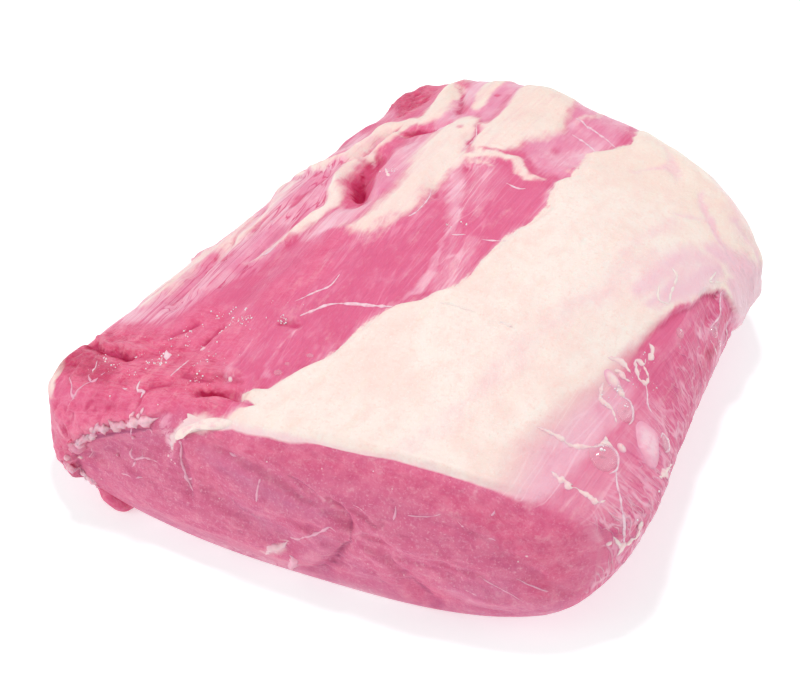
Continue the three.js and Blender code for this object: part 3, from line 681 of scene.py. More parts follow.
def body_grid():
    """The body's base points before relief, with each point's place on the skin."""
    table = body_rows()
    across = column_places()
    t = oval_turn(across)[None, :]
    turn, spoke, share, end_side = (column[:, None] for column in table.T)
    base = np.empty((len(table), COLUMNS, 3))
    for end in (FRONT, FAR):
        at = table[:, 3] == end["side"]
        base[at] = end_skin(end, t, turn[at], spoke[at])
    at = table[:, 3] == 0
    base[at] = side_skin(t, share[at])
    side = np.where(end_side == 0, np.where(share < 0.5, -1, 1), end_side)
    return base, t, share, turn, side, np.broadcast_to(across, base.shape[:2])


base, t_grid, share_grid, turn_grid, side_grid, across_grid = body_grid()
body_points, sunken = raised(base, t_grid, share_grid, turn_grid, side_grid, across_grid)
own_middle = (body_points.min((0, 1)) + body_points.max((0, 1))) / 2
cad_middle = (np.asarray(cad_low) + np.asarray(cad_high)) / 2 / MM
SHIFT = (cad_middle - own_middle) * (1, 1, 0)


def jittered(value, at, *waves):
    """A coordinate with its lines broken up by (height, size, seed, octaves) noises."""
    for height, *wave in waves:
        value = value + height * lumps(at, *wave)
    return value


def side_layers(at):
    """The painted layers of the sides."""
    y = at[..., 1]
    a = jittered(across_grid, at, (1.5, (5, 22, 5), 41, 3), (0.5, 2.5, 42))
    b = jittered(y, at, (1.6, 8, 43), (0.5, 2.5, 44))
    depth, thinned = cover_depth(jittered(across_grid, at, (0.9, (3, 7, 3), 45, 3)),
                                 jittered(y, at, (0.25, 7, 48)))
    bare = paint(a, b, SIDE_BARE)
    under = ease((np.abs(across_grid) - UNDER_FROM) / UNDER_OVER)
    margin = (MARGIN_VEIL * soft(depth + MARGIN_REACH, MARGIN_SOFTNESS)
              * ease((a - MARGIN_FROM) / MARGIN_OVER) * (1 - thinned))
    halo = paint(across_grid, y, [(HALO_VEIL, HALO_SOFTNESS, path)
                                  for path in FAT_STRANDS + [TISSUE]])
    veil = paint(a, b, SIDE_VEIL) * (1 - bare)
    return dict(
        cover=np.clip(depth, -COVER_REACH, COVER_REACH), thin=np.maximum(thinned, under),
        cream=paint(a, b, SIDE_CREAM) * (1 - bare),
        veil=np.max([veil, 0.6 * under, margin, halo], axis=0),
        torn=np.maximum(paint(a, b, SIDE_TORN), 0.35 * bare), deep=paint(a, b, SIDE_SHADE_AND_JUICE),
        lilac=paint(a, b, SIDE_LILAC), ash=0, cut=0)


def front_layers(at, u, w):
    """The painted layers of the front cut; u and w are x and z with their lines broken up."""
    x, z = at[..., 0], at[..., 2]
    above_ledge = soft(w - curve_at(LEDGE, u), 1.5) * soft(LEDGE_RIGHT - 2 - u, 6)
    rim = jittered(z, at, (0.25, 7, 48)) - curve_at(EYE_TOP, x)
    rim = np.where((x > EYE_LEFT) & (x < EYE_RIGHT), rim, -COVER_REACH)
    return dict(
        cover=np.clip(rim, -COVER_REACH, COVER_REACH),
        thin=0.8 * ease((x - RIM_THINS_FROM) / RIM_THINS_OVER),
        cream=paint(u, w, FRONT_CREAM), veil=paint(u, w, FRONT_VEIL),
        torn=np.maximum(paint(u, w, FRONT_TORN), 0.65 * above_ledge),
        deep=paint(u, w, FRONT_SHADE_AND_JUICE), lilac=0.6,
        ash=np.maximum(paint(u, w, FRONT_GREY_AND_SHADE), 0.5 * above_ledge), cut=1 - above_ledge)


def far_layers(at, u, w):
    """The painted layers of the far cut."""
    x, z = at[..., 0], at[..., 2]
    rim = jittered(z - FAR_FAT_SHARE * curve_at(FAR_OUTLINE, x), at, (0.8, 6, 51))
    return dict(
        cover=np.clip(rim, -COVER_REACH, COVER_REACH), thin=0.25,
        cream=paint(u, w, FAR_CREAM), veil=0.35 * ease(lumps(at, 12, 53)),
        torn=0.3 * ease(lumps(at, 14, 54)),
        # painted shade in the two grooves of the far cut's relief
        deep=0.3 * soft(-swell(x, z, FAR_RELIEF[1:3]) - 1.2, 0.6), lilac=0,
        ash=0.5 * ease(lumps(at, 18, 55)), cut=1)


def layers(at):
    """The painted layers of the body, one number a point, on the sides and the cuts."""
    u = jittered(at[..., 0], at, (0.6, 5, 46), (0.25, 2, 47))
    w = jittered(at[..., 2], at, (0.6, 5, 48), (0.25, 2, 49))
    side, front, far = side_layers(at), front_layers(at, u, w), far_layers(at, u, w)
    gives_way = np.where(side_grid < 0, FRONT_GIVES_WAY, FAR_GIVES_WAY)
    sideways = soft(turn_grid / QUARTER - gives_way, WAY_SOFTNESS)
    fields = {name: mix(np.where(side_grid < 0, front[name], far[name]), side[name], sideways)
              for name in side}
    fields["hollow"] = np.clip(sunken, -1, 1)
    fields["round"] = across_grid * MM
    return {name: np.broadcast_to(field, across_grid.shape) for name, field in fields.items()}


# ---- meshes ----

SHORTEST_CURVE = 12  # samples
STRAND_FOOT = 0.12  # how far a strand's foot is sunk, as a share of its width
STRAND_SPREAD = 1.2  # a strand's width on the skin, as a share of its path's
STRAND_TAPER = 2.2  # the length of a tapering end, in half widths
STRAND_LUMP, LOBE_LUMP = 1.3, 1.8  # mm
SKIN_GAP = 0.03
LOBE_RINGS = np.array([0.2, 0.4, 0.6, 0.75, 0.87, 0.95, 1.0, 0.97])
LOBE_FEET = (-0.12, -0.5)  # heights of the last two rings, under the skin
LOBE_TAIL = 0.4


def unit(vectors):
    """Vectors made 1 long."""
    return vectors / (np.linalg.norm(vectors, axis=-1, keepdims=True) + TINY)


def outward_grid(points):
    """The unit normals of a ring grid: the cross product of its steps round it and along it."""
    normal = np.cross(np.roll(points, -1, 1) - np.roll(points, 1, 1), np.gradient(points, axis=0))
    return normal / (np.linalg.norm(normal, axis=-1, keepdims=True) + TINIEST)


body_outward = outward_grid(body_points)


def read_skin(column, key, first_row, value):
    """Points and outward directions of the raised skin, read evenly between its grid's corners.

    column may lie between two columns; the row is where key first reaches value there.
    """
    left = np.floor(column).astype(int) % COLUMNS
    right = (left + 1) % COLUMNS
    f = column - np.floor(column)
    keys = mix(key[:, left], key[:, right], f)
    upper = np.clip((keys < value).sum(0), 1, len(keys) - 1)
    pick = np.arange(len(upper))
    low, high = keys[upper - 1, pick], keys[upper, pick]
    g = np.clip((value - low) / (high - low + TINY), 0, 1)[:, None]
    f = f[:, None]
    row = first_row + upper

    def read(grid):
        return mix(mix(grid[row - 1, left], grid[row - 1, right], f),
                   mix(grid[row, left], grid[row, right], f), g)
    return read(body_points), read(body_outward)


def on_side(across, y):
    """The raised skin at places (across, y) on the sides."""
    column = np.interp(across, across_grid[0], np.arange(COLUMNS))
    return read_skin(column, base[EDGE_START:-FAR_FACE_ROWS, :, 1], EDGE_START, y)


def on_front(x, z):
    """The raised skin at places (x, z) on the front cut, found by angle and distance."""
    cx, cz = end_centre(FRONT)
    spokes = base[:SIDE_START, :, (0, 2)] - (cx, cz)
    angles = np.unwrap(np.arctan2(spokes[-1, :, 1], spokes[-1, :, 0]))
    fall = (angles[0] - np.arctan2(z - cz, x - cx)) % (2 * np.pi)
    column = np.interp(fall, np.append(angles[0] - angles, 2 * np.pi), np.arange(COLUMNS + 1))
    return read_skin(column, np.hypot(spokes[..., 0], spokes[..., 1]), 0, np.hypot(x - cx, z - cz))


def smooth_path(path, closed=False, step=0.5):
    """Close samples of a Catmull-Rom curve through a path's points."""
    path = np.asarray(path, float)
    if closed:
        path = np.concatenate([path[-2:], path, path[:3]])
    length = np.hypot(*np.diff(path[:, :2], axis=0).T).sum()
    low, high = (2 / (len(path) - 1), 1 - 2 / (len(path) - 1)) if closed else (0, 1)
    t = np.linspace(low, high, max(int(length / step), SHORTEST_CURVE))
    curve = np.stack([through(column, t) for column in path.T], -1)
    return curve[:-1] if closed else curve


def circle(steps):
    """Evenly spaced angles of a ring, in the order that faces its skin outwards."""
    return -2 * np.pi * np.arange(steps) / steps


def closed_rings(rings, tip, tail):
    """Points and faces of a skin over rings, closed by a point before and one behind."""
    rows, columns = rings.shape[:2]
    points = np.concatenate([rings.reshape(-1, 3), [tip, tail]])
    row, column = np.meshgrid(np.arange(rows - 1), np.arange(columns), indexing="ij")
    here = row * columns + column
    beside = row * columns + (column + 1) % columns
    quads = np.stack([here, beside, beside + columns, here + columns], -1).reshape(-1, 4)
    around = np.arange(columns)
    after = (around + 1) % columns
    first, last = rows * columns, (rows - 1) * columns
    front = together(first, after, around)
    back = together(first + 1, last + around, last + after)
    return points, quads.tolist() + front.tolist() + back.tolist()


def strand(path, tall, on=on_side, lumpy=0.0, seed=0, sides=8, pink=0.0):
    """A strand on the skin: a bell section carried along a smoothed path of (u, v, half width).

    It stands tall times its half width, as the cube of the sine of the turn round it, and its
    foot is sunk by STRAND_FOOT of that width, so that it meets the skin without a step or a
    dark rim. The ends taper as a quarter circle, and the half width swells by the lumpy share
    of a noise. The third result runs from pink along its top to 1 at its foot.
    """
    path = smooth_path(path)
    centre, out = on(path[:, 0], path[:, 1])
    beside = np.cross(unit(np.gradient(centre, axis=0)), out)
    travelled = np.concatenate([[0], np.cumsum(np.linalg.norm(np.diff(centre, axis=0), axis=1))])
    from_end = np.minimum(travelled, travelled[-1] - travelled) / (STRAND_TAPER * path[:, 2].max())
    half = path[:, 2] * np.sqrt(np.clip(1 - (1 - np.clip(from_end, 0, 1)) ** 2, 0.02, 1))
    half = half * (1 + lumpy * np.clip(lumps(centre, STRAND_LUMP, seed), -0.8, 1.2))
    turn = circle(sides)[:, None]
    width = STRAND_SPREAD * half[:, None, None]
    rise = width * ((tall + STRAND_FOOT) * np.sin(turn) ** 3 - STRAND_FOOT) + SKIN_GAP
    rings = centre[:, None] + beside[:, None] * width * np.cos(turn) + out[:, None] * rise
    edge = np.broadcast_to(mix(pink, 1, np.clip(1 - np.sin(turn[:, 0]), 0, 1)), rings.shape[:2])
    return *closed_rings(rings, rings[0].mean(0), rings[-1].mean(0)), np.append(edge, [1, 1])


def lobe(outline, height, on=on_side, flat=2.0, lumpy=0.0, seed=0, steep=1.3, pink=0.0):
    """A lobe on the skin: rings shrink from its outline to its middle and rise as they go.

    The height is (1 - s ** flat) ** steep of the full one at a share s of the way out, with
    the lumpy share of a noise. The last two rings and the closing point lie under the skin.
    """
    outline = smooth_path(outline, closed=True)
    area = np.sum(outline[:, 0] * np.roll(outline[:, 1], -1)
                  - outline[:, 1] * np.roll(outline[:, 0], -1))
    outline = outline[::-1] if area > 0 else outline
    middle = outline.mean(0)
    share = LOBE_RINGS[:, None]
    lift = height * (1 - share ** flat) ** steep
    lift[-2:, 0] = LOBE_FEET
    spread = middle + (outline - middle) * share[..., None]
    points, out = on(spread[..., 0].ravel(), spread[..., 1].ravel())
    points, out = points.reshape(*spread.shape[:2], 3), out.reshape(*spread.shape[:2], 3)
    swollen = np.where(lift > 0, 1 + lumpy * lumps(points, LOBE_LUMP, seed), 1)
    rings = points + out * (lift * swollen)[..., None]
    centre, up = on(middle[:1], middle[1:])
    edge = np.broadcast_to(mix(pink, 1, share ** 3), rings.shape[:2])
    shell = closed_rings(rings, centre[0] + up[0] * height, centre[0] - up[0] * LOBE_TAIL)
    return *shell, np.append(edge, [pink, 1])


def round_lobe(u, v, radius, height, on=on_side, other=None, **settings):
    """A round or oval dome on the skin; other is its radius along v."""
    turn = np.arange(8) * math.pi / 4
    other = radius if other is None else other
    return lobe(together(u + radius * np.cos(turn), v + other * np.sin(turn)), height, on,
                **settings)


def beads(centres, radii):
    """Many small balls, each 6 round by 3 high with a point at both ends."""
    tilt = np.array([[45], [0], [-45]]) * math.pi / 180
    turn = circle(6)
    ball = together(np.cos(tilt) * np.cos(turn), np.cos(tilt) * np.sin(turn), np.sin(tilt))
    points, faces = closed_rings(ball, (0, 0, 1), (0, 0, -1))
    placed = centres[:, None] + points * radii[:, None, None]
    return placed.reshape(-1, 3), [
        tuple(corner + k * len(points) for corner in face)
        for k in range(len(centres)) for face in faces]


def gathered(parts):
    """Several parts as one: their points, their faces and their edge field."""
    points, faces, edges, first = [], [], [], 0
    for some_points, some_faces, some_edges in parts:
        points.append(some_points)
        edges.append(some_edges)
        faces += [tuple(corner + first for corner in face) for face in some_faces]
        first += len(some_points)
    return np.concatenate(points), faces, {"edge": np.concatenate(edges)}


def in_scene(name, data):
    """An object that holds some data, linked into the scene at the origin."""
    thing = bpy.data.objects.new(name, data)
    bpy.context.scene.collection.objects.link(thing)
    return thing


def make_piece(name, material, slot, points, faces, attributes=None):
    """A smooth piece on the root body, from points in mm in the loft's frame."""
    mesh = bpy.data.meshes.new(name)
    placed = (np.asarray(points, float) + SHIFT) * MM
    mesh.from_pydata(placed.tolist(), [], faces)
    mesh.polygons.foreach_set("use_smooth", np.full(len(mesh.polygons), True))
    for key, values in (attributes or {}).items():
        attribute = mesh.attributes.new(key, "FLOAT", "POINT")
        attribute.data.foreach_set("value", np.ascontiguousarray(values, np.float32))
    mesh.update()
    mesh.materials.append(material)
    piece = in_scene(name, mesh)
    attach(piece, "root")
    return piece


# ---- materials ----

LAYERS = ("cover", "thin", "cream", "veil", "torn", "deep", "lilac", "ash", "cut", "hollow",
          "round")


def linear(hexadecimal):
    """An sRGB colour such as "E8799C" as linear red, green, blue and alpha."""
    channels = np.array([int(hexadecimal[i:i + 2], 16) for i in (0, 2, 4)]) / 255
    low = channels / 12.92
    high = ((channels + 0.055) / 1.055) ** 2.4
    return (*np.where(channels <= 0.04045, low, high).tolist(), 1.0)


SETTINGS = {  # what every node of a kind is set to
    "Mix": {"data_type": "RGBA", "clamp_factor": True},  # from one colour to another
    "MapRange": {"interpolation_type": "SMOOTHSTEP"}}  # from one range to another, eased


def node(tree, kind, *values, named=None, output=None, **settings):
    """Adds one shader node, and gives its output of that name or else its first live one.

    Settings are its properties. Values go to its live inputs in turn, and named values to the
    inputs of those names. A socket is linked, and a text is an sRGB colour.
    """
    made = tree.nodes.new("ShaderNode" + kind)
    for key, value in {**SETTINGS.get(kind, {}), **settings}.items():
        setattr(made, key, value)
    given = list(zip((socket for socket in made.inputs if socket.enabled), values))
    given += [(made.inputs[key], value) for key, value in (named or {}).items()]
    for socket, value in given:
        if isinstance(value, bpy.types.NodeSocket):
            tree.links.new(value, socket)
        else:
            socket.default_value = linear(value) if isinstance(value, str) else value
    if output:
        return made.outputs[output]
    return next((socket for socket in made.outputs if socket.enabled), None)


def times(tree, product, *factors):
    """The product of two or more numbers."""
    for factor in factors:
        product = node(tree, "Math", product, factor, operation="MULTIPLY")
    return product


def plus(tree, start, *terms):
    """start and the sum of (value, factor) products."""
    for value, factor in terms:
        start = node(tree, "Math", value, factor, start, operation="MULTIPLY_ADD")
    return start


def wash(tree, colour, *coats):
    """A colour under coats of (field, low, high, strength, sRGB colour).

    Each coat lies on as strongly as its field has come from low to high, times its strength.
    """
    for field, low, high, strength, coat in coats:
        share = node(tree, "MapRange", field, low, high, 0, strength)
        colour = node(tree, "Mix", share, colour, coat)
    return colour


def noise(tree, vector, size_mm, stretch=(1, 1, 1), detail=3.0, roughness=0.55, distortion=0.0):
    """Cloudy noise whose blobs are size_mm wide, and stretched by that much along each axis."""
    scale = tuple(1 / (size_mm * MM * s) for s in stretch)
    sized = node(tree, "Mapping", named={"Vector": vector, "Scale": scale})
    return node(tree, "TexNoise", named={
        "Vector": sized, "Scale": 1.0, "Detail": detail, "Roughness": roughness,
        "Distortion": distortion})


def off_middle(tree, cloud):
    """How far a noise is from its middle value."""
    away = node(tree, "Math", cloud, 0.5, operation="SUBTRACT")
    return node(tree, "Math", away, operation="ABSOLUTE")


def lines(tree, vector, size_mm, stretch, width, distortion=0.3):
    """1 along thin winding lines, where a stretched noise passes through its middle value."""
    cloud = noise(tree, vector, size_mm, stretch, 1, distortion=distortion)
    return node(tree, "MapRange", off_middle(tree, cloud), width, 0)


def waver(tree, value, *wobbles):
    """Value with its edge broken up by (noise, amount): plus or minus half the amount."""
    for wobble, amount in wobbles:
        away = node(tree, "Math", wobble, 0.5, operation="SUBTRACT")
        value = plus(tree, value, (away, amount))
    return value


def start_material(name):
    """An empty node material, with its tree and the place on the piece."""
    material = bpy.data.materials.new(name)
    material.use_nodes = True
    tree = material.node_tree
    tree.nodes.clear()
    return material, tree, node(tree, "TexCoord", output="Object")


def meat_shader(tree, colour, roughness, height, bump_mm, soak=0.3, wet=0.1):
    """The wet surface that all raw tissues share: light soaks in, and a film of juice shines."""
    bump = node(tree, "Bump", named={"Height": height, "Strength": 1.0, "Distance": bump_mm * MM})
    shader = node(tree, "BsdfPrincipled", named={
        "Base Color": colour, "Roughness": roughness, "Normal": bump,
        "IOR": 1.36, "Specular IOR Level": 0.22, "Subsurface Weight": soak,
        "Subsurface Radius": (1.0, 0.45, 0.4), "Subsurface Scale": 0.9 * MM,
        "Coat Weight": wet, "Coat Roughness": 0.1, "Coat IOR": 1.33})
    node(tree, "OutputMaterial", shader)


def veal_fields(tree, place):
    """What the tissues of the body share: its painted layers, the noises and the fibre lines."""
    f = SimpleNamespace(**{name: node(tree, "Attribute", output="Fac", attribute_name=name)
                           for name in LAYERS})
    f.length = node(tree, "SeparateXYZ", place, output="Y")
    skin = node(tree, "CombineXYZ", f.round, f.length)
    f.clouds = noise(tree, place, 20)
    f.mottle = noise(tree, place, 4.5, (1, 1.6, 1), 5, 0.6)
    f.crumbs = noise(tree, place, 1.3, (1, 1, 1), 3, 0.65)
    f.fibres = noise(tree, place, 0.55, (1, 45, 1), 1, distortion=0.2)
    f.bundles = noise(tree, place, 3.0, (1, 12, 1), 4, 0.65, 0.4)
    f.webs = noise(tree, skin, 1.6, (5, 1, 1), 4, 0.65, 0.8)
    f.slices = noise(tree, place, 1.7, (5, 1, 1.5), 4, 0.65, 0.6)
    f.shreds = noise(tree, place, 2.4, (3.2, 1, 1.6), 5, 0.68, 0.9)
    f.grain = noise(tree, place, 0.7, (1, 1, 1), 2)
    f.uncut = node(tree, "Math", 1.0, f.cut, operation="SUBTRACT")
    f.flank = times(tree, node(tree, "MapRange", f.round, 64 * MM, 80 * MM),
                    node(tree, "MapRange", f.uncut, 0.6, 1))
    f.pale_lines = times(tree, lines(tree, place, 5.0, (1, 20, 1), 0.03),
                         node(tree, "MapRange", f.clouds, 0.4, 0.6))
    f.dark_lines = lines(tree, place, 2.6, (1, 24, 1), 0.045)
    f.net = node(tree, "Math", lines(tree, skin, 5.0, (3.2, 1, 1), 0.05, 0.4),
                 lines(tree, skin, 3.0, (3.5, 1, 1), 0.05, 0.5), operation="MAXIMUM")
    return f


def side_colour(tree, f):
    """Rosy muscle along its fibres: bundles, pale and dark lines, and painted shade in the creases
    of the flank.
    """
    lean = node(tree, "Mix", node(tree, "MapRange", f.clouds, 0.3, 0.7), "DE668D", "E47197")
    lean = wash(tree, lean, (f.bundles, 0.4, 0.75, 0.45, "DA5A86"))
    streaks = node(tree, "MapRange", f.fibres, 0.52, 0.75)
    lean = node(tree, "Mix", times(tree, streaks, f.uncut, 0.12), lean, "F3AEC5")
    lean = node(tree, "Mix", times(tree, f.pale_lines, f.uncut, 0.3), lean, "F4AEC6")
    lean = node(tree, "Mix", times(tree, f.dark_lines, f.uncut, 0.25), lean, "CF5682")
    # painted shade: the creases of the flank darkened
    creases = times(tree, f.flank, node(tree, "MapRange", f.webs, 0.48, 0.36, 0, 0.65))
    lean = node(tree, "Mix", creases, lean, "CC5686")
    return wash(tree, lean, (f.mottle, 0.5, 0.75, 0.3, "F0A0BA"))


def sliced_colour(tree, f):
    """Rosy muscle across its fibres: a fine even grain, with the knife's dark streaks."""
    lean = node(tree, "Mix", node(tree, "MapRange", f.mottle, 0.35, 0.68), "D8688E", "E17A9A")
    return wash(tree, lean, (f.slices, 0.48, 0.34, 0.45, "C95884"),
                (f.crumbs, 0.5, 0.75, 0.5, "E99BB4"), (f.grain, 0.56, 0.76, 0.4, "F4BFCE"))


def torn_colour(tree, f):
    """Torn flesh: redder, with painted shade in the low gaps between the pale crests of its shreds.
    """
    raw = node(tree, "Mix", node(tree, "MapRange", f.mottle, 0.32, 0.66), "E04A78", "F07195")
    # painted shade: the low gaps of the shreds darkened
    raw = wash(tree, raw, (f.crumbs, 0.5, 0.78, 0.25, "F19DB2"),
               (f.shreds, 0.44, 0.32, 0.5, "D03A68"))
    crests = node(tree, "MapRange", off_middle(tree, f.shreds), 0.07, 0)
    return node(tree, "Mix", times(tree, crests, 0.25), raw, "F6B1C0")


def film_colour(tree, f):
    """The milky membrane, a little pinker on the flank."""
    film = node(tree, "Mix", node(tree, "MapRange", f.clouds, 0.35, 0.65), "EC97B6", "F6C4D3")
    return node(tree, "Mix", times(tree, f.flank, 0.2), film, "EE92B4")


def film_share(tree, f):
    """How much membrane covers a place: streaked along the joint, and a web on the flank."""
    streaky = node(tree, "MapRange", f.round, 20 * MM, 50 * MM, 1.0, 0.3)
    folded = node(tree, "MapRange", f.round, -64 * MM, -48 * MM, -0.9, 0.0)
    filmed = waver(tree, f.veil, (f.bundles, times(tree, streaky, 0.9)),
                   (f.fibres, times(tree, streaky, 0.45)))
    filmed = plus(tree, filmed, (times(tree, f.pale_lines, f.veil), 0.5),
                  (times(tree, f.dark_lines, f.veil), folded))
    webbed = waver(tree, f.veil, (f.webs, node(tree, "MapRange", f.veil, 0, 0.4, 0.3, 1.6)))
    webbed = plus(tree, webbed, (f.net, node(tree, "MapRange", f.veil, 0, 0.4, 0.7, 0.5)))
    return node(tree, "MapRange", node(tree, "Mix", f.flank, filmed, webbed), 0.11, 1.1, 0, 0.95)


def fat_colour(tree, f):
    """Waxy cream fat, yellower towards the far end and lilac where it is painted so."""
    fat = node(tree, "Mix", node(tree, "MapRange", f.clouds, 0.4, 0.65), "FAE9E1", "F8E0D8")
    return wash(tree, fat, (f.length, 10 * MM, 90 * MM, 0.4, "F6DDC9"),
                (f.mottle, 0.42, 0.7, 0.5, "F7D6CE"), (f.bundles, 0.5, 0.75, 0.3, "F5E2CF"),
                (f.crumbs, 0.5, 0.75, 0.5, "F3D0C6"), (f.grain, 0.55, 0.8, 0.5, "FEF3EE"),
                (waver(tree, f.lilac, (f.mottle, 0.6)), 0.05, 1, 0.8, "F1BFD0"))


def fat_share(tree, f):
    """How much fat covers a place: the cover inside its ragged edge, and patches beside it."""
    free = node(tree, "MapRange", f.length, (-80 + SHIFT[1]) * MM, (-70 + SHIFT[1]) * MM, 0.15, 1)
    ragged = waver(tree, f.cover, (f.bundles, times(tree, free, 4.5)),
                   (f.crumbs, times(tree, free, 2.0)))
    edge = node(tree, "Mix", f.cut, node(tree, "MapRange", ragged, -0.6, 0.9),
                node(tree, "MapRange", waver(tree, f.cover, (f.mottle, 0.6)), -0.35, 0.35))
    edge = times(tree, edge, node(tree, "Math", 1.0, f.thin, operation="SUBTRACT"))
    patches = waver(tree, f.cream, (f.mottle, 0.6), (f.bundles, 1.1), (f.crumbs, 0.4))
    patches = node(tree, "MapRange", patches, 0.0, 1.05, 0, 0.97)
    return node(tree, "Math", edge, patches, operation="MAXIMUM")


def raw_veal():
    """Raw veal, cut and trimmed with a knife and left wet.

    Lean muscle is rosy, with long pale fibres on the sides and a fine even grain where it is
    cut across. Membrane lies over it as a milky film, fat is dense, cream and waxy, torn
    flesh is redder and rough, and hollows hold dark red juice. Shade is painted in as well:
    hollows, cracks and creases are darkened, raised places paled and the cut's valleys greyed.
    """
    material, tree, place = start_material("raw_veal")
    f = veal_fields(tree, place)
    lean = node(tree, "Mix", f.cut, side_colour(tree, f), sliced_colour(tree, f))
    # greyer muscle, and painted shade in the cut's valleys
    lean = node(tree, "Mix", times(tree, f.ash, 0.35), lean, "CC80A5")
    lean = node(tree, "Mix", f.torn, lean, torn_colour(tree, f))
    # painted shade: the lean turns dark red where the relief lies below its surroundings, half as
    # much on the cut
    painted_hollow_shade = times(tree, node(tree, "MapRange", f.hollow, 0.1, 0.8, 0, 0.75),
                   node(tree, "MapRange", f.cut, 0, 1, 1, 0.5))
    lean = node(tree, "Mix", painted_hollow_shade, lean, node(tree, "Mix", f.cut, "CC3A6C", "B9517F"))
    # painted light: places raised above their surroundings turn paler
    lean = wash(tree, lean, (f.hollow, -0.1, -0.9, 0.35, "F199B0"))
    colour = node(tree, "Mix", film_share(tree, f), lean, film_colour(tree, f))
    fatty = fat_share(tree, f)
    colour = node(tree, "Mix", fatty, colour, fat_colour(tree, f))
    # painted shade and dark juice: hollows, cracks and tears turned dark red
    deep = node(tree, "MapRange", waver(tree, f.deep, (f.crumbs, 0.4)), 0.1, 0.9)
    colour = node(tree, "Mix", deep, colour, node(tree, "Mix", f.cut, "B81C4F", "A03F6C"))

    height = times(tree, f.fibres, node(tree, "MapRange", fatty, 0, 1, 0.5, 0.06))
    height = plus(tree, height, (f.grain, 0.35),
                  (f.crumbs, node(tree, "MapRange", f.torn, 0.3, 1, 0.6, 1.3)),
                  (f.webs, f.flank), (f.net, times(tree, f.flank, 0.6)),
                  (f.shreds, node(tree, "MapRange", f.torn, 0.4, 1, 0, 3.0)), (f.mottle, 1.0))
    rough = node(tree, "MapRange", f.torn, 0, 1, 0.36, 0.46)
    rough = waver(tree, rough, (f.mottle, 0.25))
    wet = node(tree, "MapRange", f.torn, 0, 0.8, 0.05, 0.12)
    meat_shader(tree, colour, rough, height, 0.3, wet=wet)
    return material


def small_tissue(name, blob, blotches, edge, colours, roughness, bump_mm):
    """Tissue in blotches of two colours, turning to the third at the edges of its pieces."""
    material, tree, place = start_material(name)
    size_mm, detail = blob
    mottle = noise(tree, place, size_mm, detail=detail, roughness=0.6)
    pale, dark, rim = colours
    colour = node(tree, "Mix", node(tree, "MapRange", mottle, *blotches), pale, dark)
    thinness = node(tree, "Attribute", output="Fac", attribute_name="edge")
    colour = node(tree, "Mix", node(tree, "MapRange", thinness, *edge), colour, rim)
    meat_shader(tree, colour, roughness, mottle, bump_mm)
    return material


def firm_fat():
    """Firm raw fat in folds and crumbs: waxy cream, pinker where it is thin."""
    return small_tissue("firm_fat", (2.5, 4), (0.45, 0.8), (0.2, 0.9),
                        ("FBE6DF", "F3C4CC", "F2AFC5"), 0.36, 0.35)


def pale_membrane():
    """Thin wet membrane drawn into threads: milky, and pinker towards its edges."""
    return small_tissue("pale_membrane", (1.8, 3), (0.4, 0.75), (0.15, 0.85),
                        ("F8D6DF", "EFB0C5", "F0A8C0"), 0.32, 0.25)


def meat_juice():
    """Clear thin juice that stands in beads: seen through in the middle, with a pale rim that is a
    painted reflection.
    """
    material, tree, place = start_material("meat_juice")
    # painted reflection: the alpha rises towards the rim, so the pale base colour shows there
    rim = node(tree, "LayerWeight", 0.35, output="Facing")
    shader = node(tree, "BsdfPrincipled", named={
        "Base Color": node(tree, "Mix", noise(tree, place, 3), "FFF4F7", "F8D3DF"),
        "Roughness": 0.05, "IOR": 1.4, "Coat Weight": 1.0, "Coat Roughness": 0.04,
        "Coat IOR": 1.5, "Alpha": node(tree, "MapRange", rim, 0.4, 0.95, 0.2, 0.9)})
    node(tree, "OutputMaterial", shader)
    return material


def painted_glint_beads():
    """The smallest beads of juice and fat, painted plain white to stand in for glints on torn
    flesh.
    """
    material, tree, place = start_material("painted_glint_beads")
    tint = node(tree, "Mix", noise(tree, place, 2), "FFFFFF", "FBE0E8")
    meat_shader(tree, tint, 0.1, 0.0, 0.01, soak=0.2)
    return material


def white_paper():
    """A pale, nearly matt floor that glows a little, so that it stays even."""
    material, tree, _ = start_material("white_paper")
    shader = node(tree, "BsdfPrincipled", named={
        "Base Color": "D4E2E0", "Roughness": 0.9, "Specular IOR Level": 0.1,
        "Emission Color": "FFFFFF", "Emission Strength": 0.5})
    node(tree, "OutputMaterial", shader)
    return material


# ---- camera, floor and light ----

CAMERA_TARGET = (-5.0, -25.5, 30.0)  # mm, in the loft's frame
CAMERA_AZIMUTH, CAMERA_ELEVATION = math.radians(30.0), math.radians(40.5)
CAMERA_DISTANCE, CAMERA_LENS = 0.62, 90.0
FLOOR_REACH = 3.0
SURROUND_STRENGTH = 0.52
LAMP_TARGET = (0, 0, 0.03)
LAMPS = [  # (name, place, size, power)
    ("key", (-0.06, 0.06, 1.0), 0.12, 3.95),
    ("front_fill", (-0.75, -0.82, 0.45), 0.7, 3.4),
    ("flank_fill", (1.0, 0.3, 0.6), 0.5, 1.75)]


def aim(thing, place, target):
    """Puts a camera or lamp at a place and turns it to face the target, upright."""
    thing.location = Vector(place)
    thing.rotation_euler = (Vector(target) - Vector(place)).to_track_quat("-Z", "Y").to_euler()


def set_camera():
    """A long lens from the front right, looking down at 40 degrees."""
    target = (np.array(CAMERA_TARGET) + SHIFT) * MM
    level = math.cos(CAMERA_ELEVATION)
    back = np.array([math.sin(CAMERA_AZIMUTH) * level, -math.cos(CAMERA_AZIMUTH) * level,
                     math.sin(CAMERA_ELEVATION)])
    camera = in_scene("camera", bpy.data.cameras.new("camera"))
    camera.data.sensor_width = 36.0
    camera.data.lens = CAMERA_LENS
    camera.data.clip_start = 0.01
    aim(camera, target + back * CAMERA_DISTANCE, target)
    bpy.context.scene.camera = camera


